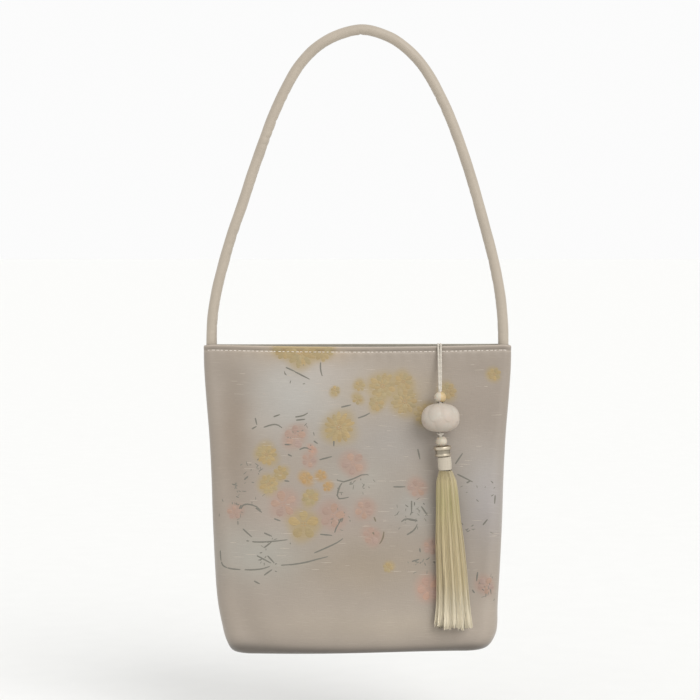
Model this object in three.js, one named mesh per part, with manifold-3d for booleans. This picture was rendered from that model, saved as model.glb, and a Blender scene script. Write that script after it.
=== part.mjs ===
// A soft brocade purse with a boxed base, one rolled handle and a tassel pendant.
//
// Millimetres. X runs across the purse, Y from its front to its back, Z up. The purse hangs by
// its handle: the origin is the underside of the handle, over the middle of the purse. Tables
// hold shares of the named sizes beside them, a row for each section, fold or lock.

import * as THREE from 'three';
import { mergeVertices } from 'three/addons/utils/BufferGeometryUtils.js';
import Module from 'manifold-3d';

const wasm = await Module();
wasm.setup();

// Bag body
const rimWidth = 209.7; // across the mouth, from side seam to side seam
const bodyHeight = 210; // from the rim to the base
const baseDepth = 55; // front to back, just above the base
const panelSwell = 5.2; // how far a panel bows out between its corners
const sidePinch = 2.2; // how far a side seam is drawn in, half way down
const baseCorner = 13; // corner radius near the base, seen from above
const sideTurnReach = 9; // how far the base is turned in at its two ends
const sideTurnHeight = 16; // and over what height
const frontTurn = 7; // radius of the long lower edges
const rimSag = 1.4; // how far the front rim hangs down between the handle's ends
const backSag = 0.4; // and the back rim
const wall = 1.5; // brocade, interfacing and facing together

// Hem round the mouth
const hemRoll = 0.5; // radius of the folded crest's two edges
const hemProud = 0.4; // how far the folded hem stands out
const stitchDrop = 3.1; // topstitching below the crest
const stitchPinch = 0.5; // how deep the stitches draw the cloth in
const stitchReach = 1.3; // how far the pull of the stitches spreads

// Soft folds and dents of the panels
const foldDepth = 3.4; // rise of a fold whose share is 1
const foldWidth = 15; // half width of a fold whose share is 1
const foldFadeTop = 22; // the hem keeps the folds flat this far down
const foldFadeBase = 20; // and the boxed base keeps them flat this far up

// Fits
const seamGap = 0.3; // between the two panels, at each seam
const clearance = 0.3; // between a piece and what it lies against
const slantFit = 0.45; // between two pieces of the pendant that lean differently
const beadRest = 0.3; // between a hanging piece and the front panel
const beadNest = 0.4; // how deep a round bead sits in the mouth of the next one's hole
const threadFit = 0.35; // round the thread in a drilled hole
const threadFitLong = 0.6; // the same in the long hole of the large bead

// Handle
const handleDiameter = 7.2;
const handleRise = 213; // from the rim to the handle's centre line at its top
const handleTuck = 15; // length of each end inside the bag

// Pendant
const pendantAcross = 55.6; // from the middle of the purse to the thread on the rim
const pendantLean = 9; // how far the tassel leans out from there
const threadDrop = 30.9; // from the rim to the top of the upper bead
const strandDiameter = 1.5;
const strandSpread = 1.7; // between the two strands on the rim
const coreDiameter = 2.4; // the strands laid together inside the beads
const mergeShares = [0.3, 0.65, 1]; // where the strands come together, down to the upper bead
const knotWidth = 4.5;
const knotHeight = 1.7;
const anchorDrop = 10; // from the rim to the thread's end knot inside the bag
const anchorWidth = 4.4;
const beadTopDiameter = 7.9;
const beadBottomDiameter = 7.8;
const lotusWidth = 26.2;
const lotusHeight = 19.3;
const lotusFullness = 2.4; // power of its outline: 2 is an ellipse, more is squarer
const lotusTilt = 0.14; // how far the large bead's axis runs out for its height
const lotusLobes = 8;
const lotusGroove = 1.1; // depth of the grooves between its lobes
const collarWidth = 11.7;
const collarHeight = 6.7;
const collarSeat = 1.2; // how deep the lower bead sits in the collar
const neckWidth = 9.1;
const neckLength = 8.9;
const neckBore = 4.5; // depth of the thread's hole in the neck
const skirtLength = 107;
const skirtSpread = 25.2; // full width at the tip
const skirtThickness = 11.5; // front to back at the tip
const skirtLocks = 12;
const lockGroove = 0.13; // groove between two locks at the tip, as a share of the radius
const tipHollow = 7; // how far the underside of the tip is drawn up
const tipCore = 0.5; // width of that hollow, as a share of the tip

// down: share of bodyHeight. width: of half rimWidth. depth: from the depth that the handle's end
// needs at the rim to that of the base. corner: the same for the corner radius. swell: of
// panelSwell. pinch: of sidePinch.
const bodySections = [
  { down: 0.00, width: 1.0000, depth: 0.000, corner: 0.00, swell: 0.88, pinch: 0.00 },
  { down: 0.08, width: 0.9970, depth: 0.080, corner: 0.10, swell: 0.92, pinch: 0.15 },
  { down: 0.18, width: 0.9830, depth: 0.185, corner: 0.22, swell: 0.98, pinch: 0.50 },
  { down: 0.30, width: 0.9635, depth: 0.313, corner: 0.38, swell: 1.00, pinch: 0.85 },
  { down: 0.43, width: 0.9500, depth: 0.452, corner: 0.52, swell: 0.94, pinch: 1.00 },
  { down: 0.56, width: 0.9415, depth: 0.598, corner: 0.66, swell: 0.82, pinch: 0.95 },
  { down: 0.70, width: 0.9285, depth: 0.754, corner: 0.80, swell: 0.68, pinch: 0.75 },
  { down: 0.82, width: 0.9140, depth: 0.886, corner: 0.92, swell: 0.66, pinch: 0.50 },
  { down: 0.91, width: 0.9000, depth: 0.965, corner: 1.00, swell: 0.70, pinch: 0.30 },
  { down: 1.00, width: 0.8850, depth: 1.000, corner: 1.00, swell: 0.70, pinch: 0.10 },
];

// A fold runs straight from one place to another. across1, across2: shares of half rimWidth from
// the middle. down1, down2: shares of bodyHeight. width: of foldWidth. rise: of foldDepth, out of
// the panel, or into it where it is negative.
const frontFolds = [
  { across1: -0.70, down1: 0.14, across2: -0.67, down2: 0.62, width: 0.9, rise: 0.30 },
  { across1: -0.87, down1: 0.16, across2: -0.84, down2: 0.55, width: 0.8, rise: -0.42 },
  { across1: -0.92, down1: 0.07, across2: -0.52, down2: 0.24, width: 0.8, rise: -0.26 },
  { across1: -0.38, down1: 0.12, across2: -0.04, down2: 0.27, width: 2.0, rise: 0.34 },
  { across1: -0.12, down1: 0.72, across2: 0.52, down2: 0.70, width: 2.1, rise: -0.52 },
  { across1: -0.60, down1: 0.90, across2: 0.58, down2: 0.90, width: 1.3, rise: 0.30 },
  { across1: -0.82, down1: 0.80, across2: -0.72, down2: 0.96, width: 0.8, rise: -0.60 },
  { across1: -0.64, down1: 0.78, across2: -0.58, down2: 0.95, width: 0.8, rise: 0.26 },
  { across1: 0.80, down1: 0.60, across2: 0.74, down2: 0.95, width: 0.8, rise: -0.50 },
  { across1: 0.82, down1: 0.10, across2: 0.88, down2: 0.34, width: 1.2, rise: -0.46 },
  { across1: 0.76, down1: 0.36, across2: 0.80, down2: 0.58, width: 0.8, rise: 0.24 },
];
const backFolds = [
  { across1: -0.84, down1: 0.12, across2: -0.86, down2: 0.50, width: 1.0, rise: -0.44 },
  { across1: -0.66, down1: 0.20, across2: -0.70, down2: 0.66, width: 0.9, rise: 0.26 },
  { across1: 0.85, down1: 0.18, across2: 0.82, down2: 0.60, width: 0.9, rise: -0.46 },
  { across1: 0.92, down1: 0.07, across2: 0.50, down2: 0.26, width: 0.8, rise: -0.26 },
  { across1: -0.30, down1: 0.34, across2: 0.34, down2: 0.40, width: 2.2, rise: -0.40 },
  { across1: -0.10, down1: 0.66, across2: 0.40, down2: 0.62, width: 2.0, rise: 0.34 },
  { across1: 0.78, down1: 0.80, across2: 0.70, down2: 0.96, width: 0.8, rise: -0.55 },
  { across1: -0.78, down1: 0.74, across2: -0.72, down2: 0.95, width: 0.8, rise: -0.50 },
];

// up: share of handleRise above the rim. left, right: the handle's two sides, as shares of half
// the distance between its ends. The top lies a little to the right of the middle.
const handleSections = [
  { up: 0.000, left: 1.000, right: 1.000 },
  { up: 0.075, left: 0.995, right: 0.995 },
  { up: 0.171, left: 0.963, right: 0.972 },
  { up: 0.268, left: 0.911, right: 0.931 },
  { up: 0.364, left: 0.848, right: 0.877 },
  { up: 0.460, left: 0.777, right: 0.821 },
  { up: 0.556, left: 0.709, right: 0.759 },
  { up: 0.652, left: 0.636, right: 0.690 },
  { up: 0.748, left: 0.556, right: 0.607 },
  { up: 0.845, left: 0.454, right: 0.502 },
  { up: 0.893, left: 0.386, right: 0.431 },
  { up: 0.941, left: 0.288, right: 0.332 },
  { up: 0.978, left: 0.160, right: 0.212 },
  { up: 1.000, left: -0.031, right: 0.031 },
];

// down: share of skirtLength. width: of skirtSpread. thickness: of skirtThickness. groove: of
// lockGroove.
const skirtSections = [
  { down: 0.00, width: 0.355, thickness: 0.72, groove: 0.10 },
  { down: 0.05, width: 0.520, thickness: 0.80, groove: 0.20 },
  { down: 0.12, width: 0.590, thickness: 0.84, groove: 0.35 },
  { down: 0.30, width: 0.645, thickness: 0.84, groove: 0.50 },
  { down: 0.45, width: 0.720, thickness: 0.86, groove: 0.65 },
  { down: 0.70, width: 0.785, thickness: 0.90, groove: 0.80 },
  { down: 0.84, width: 0.850, thickness: 0.95, groove: 0.90 },
  { down: 1.00, width: 1.000, thickness: 1.00, groove: 1.00 },
];

// down: share of the whole pendant, from the rim to the tassel's tip. lean: of pendantLean.
const pendantSections = [
  { down: 0.000, lean: 0.00 },
  { down: 0.255, lean: 0.00 },
  { down: 0.338, lean: 0.05 },
  { down: 0.412, lean: 0.33 },
  { down: 0.490, lean: 0.47 },
  { down: 0.610, lean: 0.60 },
  { down: 0.730, lean: 0.76 },
  { down: 0.840, lean: 0.90 },
  { down: 1.000, lean: 1.00 },
];

// How much shorter each lock is than the longest, round the skirt from its right side.
const lockShortfalls = [0.03, 0.00, 0.05, 0.02, 0.06, 0.01, 0.04, 0.07, 0.02, 0.05, 0.00, 0.04];

// What the sizes above give
const rimLevel = handleDiameter / 2 - handleRise;
const rimEnd = handleDiameter / 2 + wall + 2 * clearance;
const baseEnd = baseDepth / 2 - panelSwell * bodySections.at(-1).swell;
const sideLeg = 0.8; // shortest straight stretch beside a side seam
const handleSpan = rimWidth / 2 - wall - clearance - handleDiameter / 2;

// A column of a table at any place between its rows: a cubic through the rows, where each row's
// slope is taken from the rows on both sides of it.
function along(rows, key, at, column) {
  const last = rows.length - 1;
  let i = 0;
  while (i < last - 1 && at > rows[i + 1][key]) i += 1;
  const slope = (row) => {
    const before = rows[Math.max(row - 1, 0)];
    const after = rows[Math.min(row + 1, last)];
    return (after[column] - before[column]) / (after[key] - before[key]);
  };
  const span = rows[i + 1][key] - rows[i][key];
  const s = (at - rows[i][key]) / span;
  const rest = 1 - s;
  return rest * rest * (1 + 2 * s) * rows[i][column]
    + s * s * (3 - 2 * s) * rows[i + 1][column]
    + s * rest * span * (rest * slope(i) - s * slope(i + 1));
}

function smoothStep(value, from, to) {
  const s = Math.min(Math.max((value - from) / (to - from), 0), 1);
  return s * s * (3 - 2 * s);
}

// How far a rounded edge is turned in at a height above the plane that it turns into: a quarter
// of an ellipse, reach across and height up.
function turned(above, reach, height) {
  const share = Math.min(Math.max(1 - above / height, 0), 1);
  return reach * (1 - Math.sqrt(1 - share * share));
}

// How far the hem's outside stands proud, at a distance below the crest.
function hemForm(below) {
  const folded = 1 - smoothStep(below, stitchDrop, stitchDrop + stitchReach);
  const pull = Math.exp(-(((below - stitchDrop) / stitchReach) ** 2));
  return hemProud * folded - stitchPinch * pull;
}

// How far the folds lift a panel out at a place: each is a soft ridge along its line.
function foldRise(folds, x, down) {
  let rise = 0;
  for (const fold of folds) {
    const startX = fold.across1 * rimWidth / 2;
    const startDown = fold.down1 * bodyHeight;
    const runX = fold.across2 * rimWidth / 2 - startX;
    const runDown = fold.down2 * bodyHeight - startDown;
    const fromX = x - startX;
    const fromDown = down * bodyHeight - startDown;
    const share = (fromX * runX + fromDown * runDown) / (runX * runX + runDown * runDown);
    const near = Math.min(Math.max(share, 0), 1);
    const away = Math.hypot(fromX - near * runX, fromDown - near * runDown);
    rise += fold.rise * Math.exp(-((away / (fold.width * foldWidth)) ** 2));
  }
  const fadeTop = smoothStep(down * bodyHeight, stitchDrop, foldFadeTop);
  const fadeBase = smoothStep((1 - down) * bodyHeight, 0, foldFadeBase);
  return foldDepth * rise * fadeTop * fadeBase;
}

// Half of the bag's level section at a share of its height, drawn in by inset: its half width,
// the depth and radius of its corners, and the stretch of its front between them.
function sectionAt(down, inset) {
  const above = (1 - down) * bodyHeight;
  const value = (column) => along(bodySections, 'down', down, column);
  const half = rimWidth / 2 * value('width') - turned(above, sideTurnReach, sideTurnHeight) - inset;
  const end = rimEnd + (baseEnd - rimEnd) * value('depth')
    - turned(above, frontTurn, frontTurn) - inset;
  const wanted = rimEnd + (baseCorner - rimEnd) * value('corner') - inset;
  const corner = Math.min(wanted, end - sideLeg);
  return {
    half,
    end,
    corner,
    flat: half - corner,
    swell: panelSwell * value('swell'),
    pinch: sidePinch * value('pinch'),
  };
}

// Depth of a panel's face at a place between its corners.
function faceAt(folds, x, down) {
  const section = sectionAt(down, 0);
  const share = Math.min(Math.abs(x) / section.flat, 1);
  return section.end + section.swell * (1 - share * share) ** 1.5 + foldRise(folds, x, down);
}

// Level of the rim, which sags between the handle's ends.
function rimDip(x, sag, down) {
  return sag * Math.max(1 - (2 * x / rimWidth) ** 2, 0) * (1 - down) ** 3;
}

// A column of a panel runs across from one side seam, -1, to the other, 1: up to frontShare it
// lies on the face, up to cornerShare on a corner, and then on the flat side.
const frontShare = 0.72;
const cornerShare = 0.9;

function columnShares(frontSteps, cornerSteps, sideSteps) {
  const shares = [];
  const half = frontSteps / 2;
  for (let i = 0; i <= half; i += 1) shares.push(frontShare * i / half);
  for (let i = 1; i <= cornerSteps; i += 1) {
    shares.push(frontShare + (cornerShare - frontShare) * i / cornerSteps);
  }
  for (let i = 1; i <= sideSteps; i += 1) {
    shares.push(cornerShare + (1 - cornerShare) * i / sideSteps);
  }
  return [...shares.slice(1).reverse().map((share) => -share), ...shares];
}

// Place on a panel's wall: how far across and how deep.
function wallPoint(panel, column, down, inset) {
  const { half, end, corner, flat, swell, pinch } = sectionAt(down, inset);
  const hand = Math.sign(column);
  const share = Math.abs(column);
  if (share <= frontShare) {
    const across = column / frontShare;
    const x = flat * across;
    return [x, end + swell * (1 - across * across) ** 1.5 + foldRise(panel.folds, x, down)];
  }
  if (share <= cornerShare) {
    const angle = (share - frontShare) / (cornerShare - frontShare) * Math.PI / 2;
    const x = flat + corner * Math.sin(angle);
    const depth = end - corner + corner * Math.cos(angle);
    return [hand * x, depth + foldRise(panel.folds, hand * x, down) * Math.cos(angle)];
  }
  const s = (share - cornerShare) / (1 - cornerShare);
  const drawn = pinch * s * s * (3 - 2 * s);
  return [hand * (half - drawn), (end - corner) * (1 - s) + seamGap / 2 * s];
}

// One skin of a panel, outside or inside: rows from the crest down the wall, then across the
// flat base to the seam under the middle of the bag.
function panelSkin(panel, rows, columns, inside) {
  const height = bodyHeight - (inside ? wall : 0);
  const seamShare = 0.985; // the base seam ends just short of the side seams
  return rows.map(({ below, base }) => columns.map((column) => {
    const down = below / bodyHeight;
    const roll = turned(below, hemRoll, hemRoll);
    const inset = inside ? wall - roll : roll - hemForm(below);
    const [x, depth] = wallPoint(panel, column, down, inset);
    const z = rimLevel - down * height - rimDip(x, panel.sag, down);
    const seamX = Math.abs(wallPoint(panel, 1, down, inset)[0]) * column * seamShare;
    const placeX = THREE.MathUtils.lerp(x, seamX, base);
    const placeDepth = THREE.MathUtils.lerp(depth, seamGap / 2, base);
    return new THREE.Vector3(placeX, panel.side * placeDepth, z);
  }));
}

// Geometry from vertices and triangles. A grid that was made for the other side of the bag has
// its triangles turned over, so that every face looks out.
function surface(points, triangles) {
  let volume = 0;
  for (const [a, b, c] of triangles) {
    volume += points[a].dot(new THREE.Vector3().crossVectors(points[b], points[c]));
  }
  const order = volume > 0 ? triangles : triangles.map(([a, b, c]) => [a, c, b]);
  const geometry = new THREE.BufferGeometry();
  geometry.setFromPoints(points);
  geometry.setIndex(order.flat());
  geometry.computeVertexNormals();
  return geometry;
}

// Two skins of the same grid, joined along their four edges into one wall.
function wallBetween(outer, inner) {
  const rows = outer.length;
  const columns = outer[0].length;
  const points = [...outer.flat(), ...inner.flat()];
  const out = (row, column) => row * columns + column;
  const back = (row, column) => rows * columns + row * columns + column;
  const triangles = [];
  const quad = (a, b, c, d) => triangles.push([a, b, c], [a, c, d]);
  for (let r = 0; r < rows - 1; r += 1) {
    for (let c = 0; c < columns - 1; c += 1) {
      quad(out(r, c), out(r + 1, c), out(r + 1, c + 1), out(r, c + 1));
      quad(back(r, c), back(r, c + 1), back(r + 1, c + 1), back(r + 1, c));
    }
    const end = columns - 1;
    quad(out(r + 1, 0), out(r, 0), back(r, 0), back(r + 1, 0));
    quad(out(r, end), out(r + 1, end), back(r + 1, end), back(r, end));
  }
  for (let c = 0; c < columns - 1; c += 1) {
    const foot = rows - 1;
    quad(out(0, c), out(0, c + 1), back(0, c + 1), back(0, c));
    quad(out(foot, c + 1), out(foot, c), back(foot, c), back(foot, c + 1));
  }
  return surface(points, triangles);
}

// Rows of a panel: close together over the hem and round the lower edge.
function panelRows(wallSteps, turnSteps) {
  const hem = [0, hemRoll, 0.6 * stitchDrop, stitchDrop, stitchDrop + stitchReach,
    stitchDrop + 3 * stitchReach];
  const turnTop = bodyHeight - sideTurnHeight;
  const rows = hem.map((below) => ({ below, base: 0 }));
  for (let i = 1; i < wallSteps; i += 1) {
    rows.push({ below: THREE.MathUtils.lerp(hem.at(-1), turnTop, i / wallSteps), base: 0 });
  }
  for (let i = 0; i <= turnSteps; i += 1) {
    const angle = i / turnSteps * Math.PI / 2;
    rows.push({ below: turnTop + sideTurnHeight * Math.sin(angle), base: 0 });
  }
  rows.push({ below: bodyHeight, base: 1 });
  return rows;
}

function bagPanel(panel) {
  const rows = panelRows(14, 5);
  const columns = columnShares(20, 3, 2);
  return wallBetween(
    panelSkin(panel, rows, columns, false),
    panelSkin(panel, rows, columns, true),
  );
}

// A round section carried along a curve, closed at both ends.
function tube(curve, diameter, sides, steps) {
  const section = new THREE.Shape();
  section.absarc(0, 0, diameter / 2, 0, 2 * Math.PI);
  return new THREE.ExtrudeGeometry(section, {
    steps, curveSegments: sides / 2, bevelEnabled: false, extrudePath: curve,
  });
}

// The handle stands in the middle plane of the bag, with its ends down inside the side seams.
function rolledHandle() {
  const bag = { folds: [] };
  const tuckedX = (below) => wallPoint(bag, 1, below / bodyHeight, wall)[0] - clearance
    - handleDiameter / 2;
  const tucked = (hand, below) => new THREE.Vector3(hand * tuckedX(below), 0, rimLevel - below);
  const side = (hand, column) => handleSections.map((row) => (
    new THREE.Vector3(hand * row[column] * handleSpan, 0, rimLevel + row.up * handleRise)));
  const points = [
    tucked(-1, handleTuck), tucked(-1, handleTuck / 2), ...side(-1, 'left'),
    ...side(1, 'right').reverse().slice(1), tucked(1, handleTuck / 2), tucked(1, handleTuck),
  ];
  const curve = new THREE.CatmullRomCurve3(points, false, 'centripetal');
  return tube(curve, handleDiameter, 10, 52);
}

// Levels of the pendant's pieces, each as a drop below the rim.
const beadTopDrop = threadDrop + beadTopDiameter / 2;
const lotusDrop = threadDrop + beadTopDiameter - beadNest + clearance + lotusHeight / 2;
const knotDrop = lotusDrop + lotusHeight / 2 + clearance + knotHeight / 2;
const beadBottomDrop = knotDrop + knotHeight / 2 + clearance + beadBottomDiameter / 2;
const collarDrop = beadBottomDrop + beadBottomDiameter / 2 - collarSeat + clearance
  + collarHeight / 2;
const neckDrop = collarDrop + collarHeight / 2 + slantFit + neckLength / 2;
const skirtDrop = neckDrop + neckLength / 2 + slantFit;
const tipDrop = skirtDrop + skirtLength;

function pendantX(drop) {
  return pendantAcross + pendantLean * along(pendantSections, 'down', drop / tipDrop, 'lean');
}

function frontFaceAt(drop) {
  return faceAt(frontFolds, pendantX(drop), drop / bodyHeight);
}

// Where the thread leaves the rim, and how far out each hanging piece must lie to rest on the
// front panel.
const rimDropAtThread = rimDip(pendantAcross, rimSag, 0);
const crestClear = 2 * clearance; // round the crest, where the thread bends in short steps
const crestOut = frontFaceAt(0) + hemProud + crestClear + strandDiameter / 2;
const skirtRestAt = (share) => {
  const drop = skirtDrop + share * skirtLength;
  const value = (column) => along(skirtSections, 'down', share, column);
  const inner = pendantX(drop) - skirtSpread * value('width') / 4;
  const half = skirtThickness * value('thickness') / 2 * (1 + lockGroove * value('groove'));
  return { drop, out: faceAt(frontFolds, inner, drop / bodyHeight) + beadRest + half };
};
const anchorOut = faceAt(frontFolds, pendantAcross, anchorDrop / bodyHeight) - wall - clearance
  - strandDiameter / 2;
const lotusRest = frontFaceAt(lotusDrop) + beadRest + lotusWidth / 2;
const footOut = lotusRest + lotusTilt * lotusHeight / 2;
const threadRests = [
  { drop: rimDropAtThread + hemRoll, out: crestOut },
  { drop: lotusDrop - lotusHeight / 2, out: lotusRest - lotusTilt * lotusHeight / 2 },
  { drop: lotusDrop + lotusHeight / 2, out: footOut },
  { drop: skirtDrop, out: footOut },
];
const skirtRests = [
  { drop: skirtDrop, out: footOut },
  skirtRestAt(0.45),
  skirtRestAt(0.75),
  skirtRestAt(1),
];

// The thread is taut: it runs straight from the rim to the large bead, through it, and straight
// down to the skirt, which bends out over the panel below it.
function pendantPoint(drop, aside = 0) {
  let out = 0;
  if (drop < skirtDrop) {
    const next = Math.max(threadRests.findIndex((rest) => rest.drop > drop), 1);
    const [from, to] = [threadRests[next - 1], threadRests[next]];
    out = THREE.MathUtils.mapLinear(drop, from.drop, to.drop, from.out, to.out);
  } else {
    out = along(skirtRests, 'drop', drop, 'out');
  }
  return new THREE.Vector3(pendantX(drop) + aside, -out, rimLevel - drop);
}

// A threaded piece lies along the straight line between the two ends of its hole.
function threaded(piece, drop, height) {
  const top = pendantPoint(drop - height / 2);
  const foot = pendantPoint(drop + height / 2);
  const up = top.clone().sub(foot).normalize();
  piece.quaternion.setFromUnitVectors(new THREE.Vector3(0, 0, 1), up);
  piece.position.copy(top).lerp(foot, 0.5);
  piece.updateMatrix();
}

function toSolid(geometry) {
  const plain = geometry.clone();
  plain.deleteAttribute('normal');
  plain.deleteAttribute('uv');
  const merged = mergeVertices(plain);
  return new wasm.Manifold(new wasm.Mesh({
    numProp: 3,
    vertProperties: new Float32Array(merged.attributes.position.array),
    triVerts: new Uint32Array(merged.index.array),
  }));
}

function fromSolid(solid) {
  const mesh = solid.getMesh();
  const geometry = new THREE.BufferGeometry();
  geometry.setAttribute('position', new THREE.BufferAttribute(mesh.vertProperties, 3));
  geometry.setIndex(new THREE.BufferAttribute(mesh.triVerts, 1));
  geometry.computeVertexNormals();
  return geometry;
}

// A turned piece with its axis along Z. The profile is a list of [radius, height].
function turnedPiece(profile, sides) {
  const points = profile.map(([radius, height]) => new THREE.Vector2(radius, height));
  return new THREE.LatheGeometry(points, sides).rotateX(Math.PI / 2);
}

// One strand: up inside the hem, over the rim, and down to the upper bead.
function strand(hand) {
  const aside = hand * strandSpread / 2;
  const arcRadius = (wall + hemProud) / 2 + crestClear + strandDiameter / 2;
  const arcOut = crestOut - arcRadius;
  const arcLevel = rimLevel - rimDropAtThread - (wall + hemProud) / 2;
  const x = pendantAcross + aside;
  const points = [
    new THREE.Vector3(pendantAcross, -anchorOut, rimLevel - anchorDrop),
    new THREE.Vector3(x, -(anchorOut + arcOut - arcRadius) / 2, rimLevel - anchorDrop / 2),
  ];
  for (let i = 0; i <= 6; i += 1) {
    const angle = Math.PI * (1 - i / 6);
    const out = arcOut + arcRadius * Math.cos(angle);
    points.push(new THREE.Vector3(x, -out, arcLevel + arcRadius * Math.sin(angle)));
  }
  const joined = (coreDiameter - strandDiameter) / 2;
  for (const share of mergeShares) {
    const apart = THREE.MathUtils.lerp(aside, hand * joined, share);
    points.push(pendantPoint(share * (threadDrop + coreDiameter), apart));
  }
  return tube(new THREE.CatmullRomCurve3(points, false, 'centripetal'), strandDiameter, 6, 32);
}

// The two strands, laid together from the upper bead on, with the end knot inside the bag and
// the knot between the large bead and the lower one.
function pendantCord() {
  const coreEnd = neckDrop - neckLength / 2 + neckBore - clearance;
  const coreStart = threadDrop - coreDiameter / 2;
  const coreDrops = [coreStart, beadTopDrop, lotusDrop - lotusHeight / 2, lotusDrop,
    lotusDrop + lotusHeight / 2, beadBottomDrop, collarDrop, coreEnd];
  const corePoints = coreDrops.map((drop) => pendantPoint(drop));
  const coreCurve = new THREE.CatmullRomCurve3(corePoints, false, 'centripetal');
  const core = tube(coreCurve, coreDiameter, 8, 14);
  const knot = turnedPiece([
    [0, -knotHeight / 2], [0.35 * knotWidth, -knotHeight / 2], [knotWidth / 2, knotHeight / 4],
    [0.42 * knotWidth, knotHeight / 2], [0, knotHeight / 2],
  ], 10);
  const seat = new THREE.Object3D();
  threaded(seat, knotDrop, knotHeight);
  knot.applyMatrix4(seat.matrix);
  const anchor = new THREE.SphereGeometry(anchorWidth / 2, 8, 6);
  anchor.scale(1, strandDiameter / anchorWidth, 1);
  anchor.translate(pendantAcross, -anchorOut, rimLevel - anchorDrop);
  const pieces = [strand(1), core, knot, anchor];
  return fromSolid(pieces.reduce((joined, piece) => joined.add(toSolid(piece)),
    toSolid(strand(-1))));
}

// A round bead with a drilled hole: its profile runs down the outside and up the hole.
function roundBead(diameter) {
  const bore = coreDiameter / 2 + threadFit;
  const radius = diameter / 2;
  const mouth = Math.acos(bore / radius);
  const steps = 7;
  const profile = [];
  for (let i = 0; i <= steps; i += 1) {
    const angle = THREE.MathUtils.lerp(-mouth, mouth, i / steps);
    profile.push([radius * Math.cos(angle), radius * Math.sin(angle)]);
  }
  profile.push([...profile[0]]);
  return turnedPiece(profile, 14);
}

// The large bead: eight petals round a drilled hole. Its outline is a full, flattened ellipse,
// and a groove runs down between each two petals.
function lotusBead() {
  const bore = coreDiameter / 2 + threadFitLong;
  const rise = 9;
  const around = lotusLobes * 5;
  const power = 2 / lotusFullness;
  const mouth = Math.acos((2 * bore / lotusWidth) ** (1 / power));
  const rows = [];
  for (let i = 0; i <= rise; i += 1) {
    const angle = THREE.MathUtils.lerp(-mouth, mouth, i / rise);
    const up = Math.sign(angle) * Math.abs(Math.sin(angle)) ** power;
    rows.push([Math.cos(angle) ** power, up]);
  }
  const points = [];
  for (const [outward, up] of rows) {
    for (let c = 0; c < around; c += 1) {
      const turn = c / around * 2 * Math.PI;
      const valley = Math.abs(Math.sin(turn * lotusLobes / 2));
      const groove = lotusGroove * (1 - valley) * smoothStep(outward, 0.15, 0.7);
      const radius = outward * lotusWidth / 2 - groove;
      points.push(new THREE.Vector3(
        radius * Math.cos(turn), radius * Math.sin(turn), up * lotusHeight / 2,
      ));
    }
  }
  const triangles = [];
  for (let r = 0; r <= rise; r += 1) {
    const next = (r + 1) % (rise + 1);
    for (let c = 0; c < around; c += 1) {
      const beside = (c + 1) % around;
      triangles.push([r * around + c, r * around + beside, next * around + beside]);
      triangles.push([r * around + c, next * around + beside, next * around + c]);
    }
  }
  return surface(points, triangles);
}

// The collar: a rolled top that the lower bead sits in, a band, and a thin lip at its foot.
function tasselCollar() {
  const bore = coreDiameter / 2 + threadFit;
  const half = collarWidth / 2;
  const top = collarHeight / 2;
  const seat = top - collarSeat - clearance;
  const seatRadius = 0.62 * half;
  return turnedPiece([
    [bore, -top], [0.86 * half, -top], [0.9 * half, -0.72 * top], [0.84 * half, -0.6 * top],
    [0.86 * half, -0.1 * top], [half, 0.15 * top], [half, 0.6 * top], [0.86 * half, top],
    [seatRadius, 0.95 * top], [bore, seat - 0.2 * top], [bore, -top],
  ], 12);
}

// The wrapped neck, a little fuller at its middle, with the thread's hole in its top.
function tasselNeck() {
  const bore = coreDiameter / 2 + threadFit;
  const half = neckWidth / 2;
  const top = neckLength / 2;
  return turnedPiece([
    [0, -top], [0.9 * half, -top], [0.97 * half, -0.8 * top], [half, 0],
    [0.97 * half, 0.8 * top], [0.88 * half, top], [bore, top], [bore, top - neckBore],
    [0, top - neckBore],
  ], 14);
}

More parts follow.
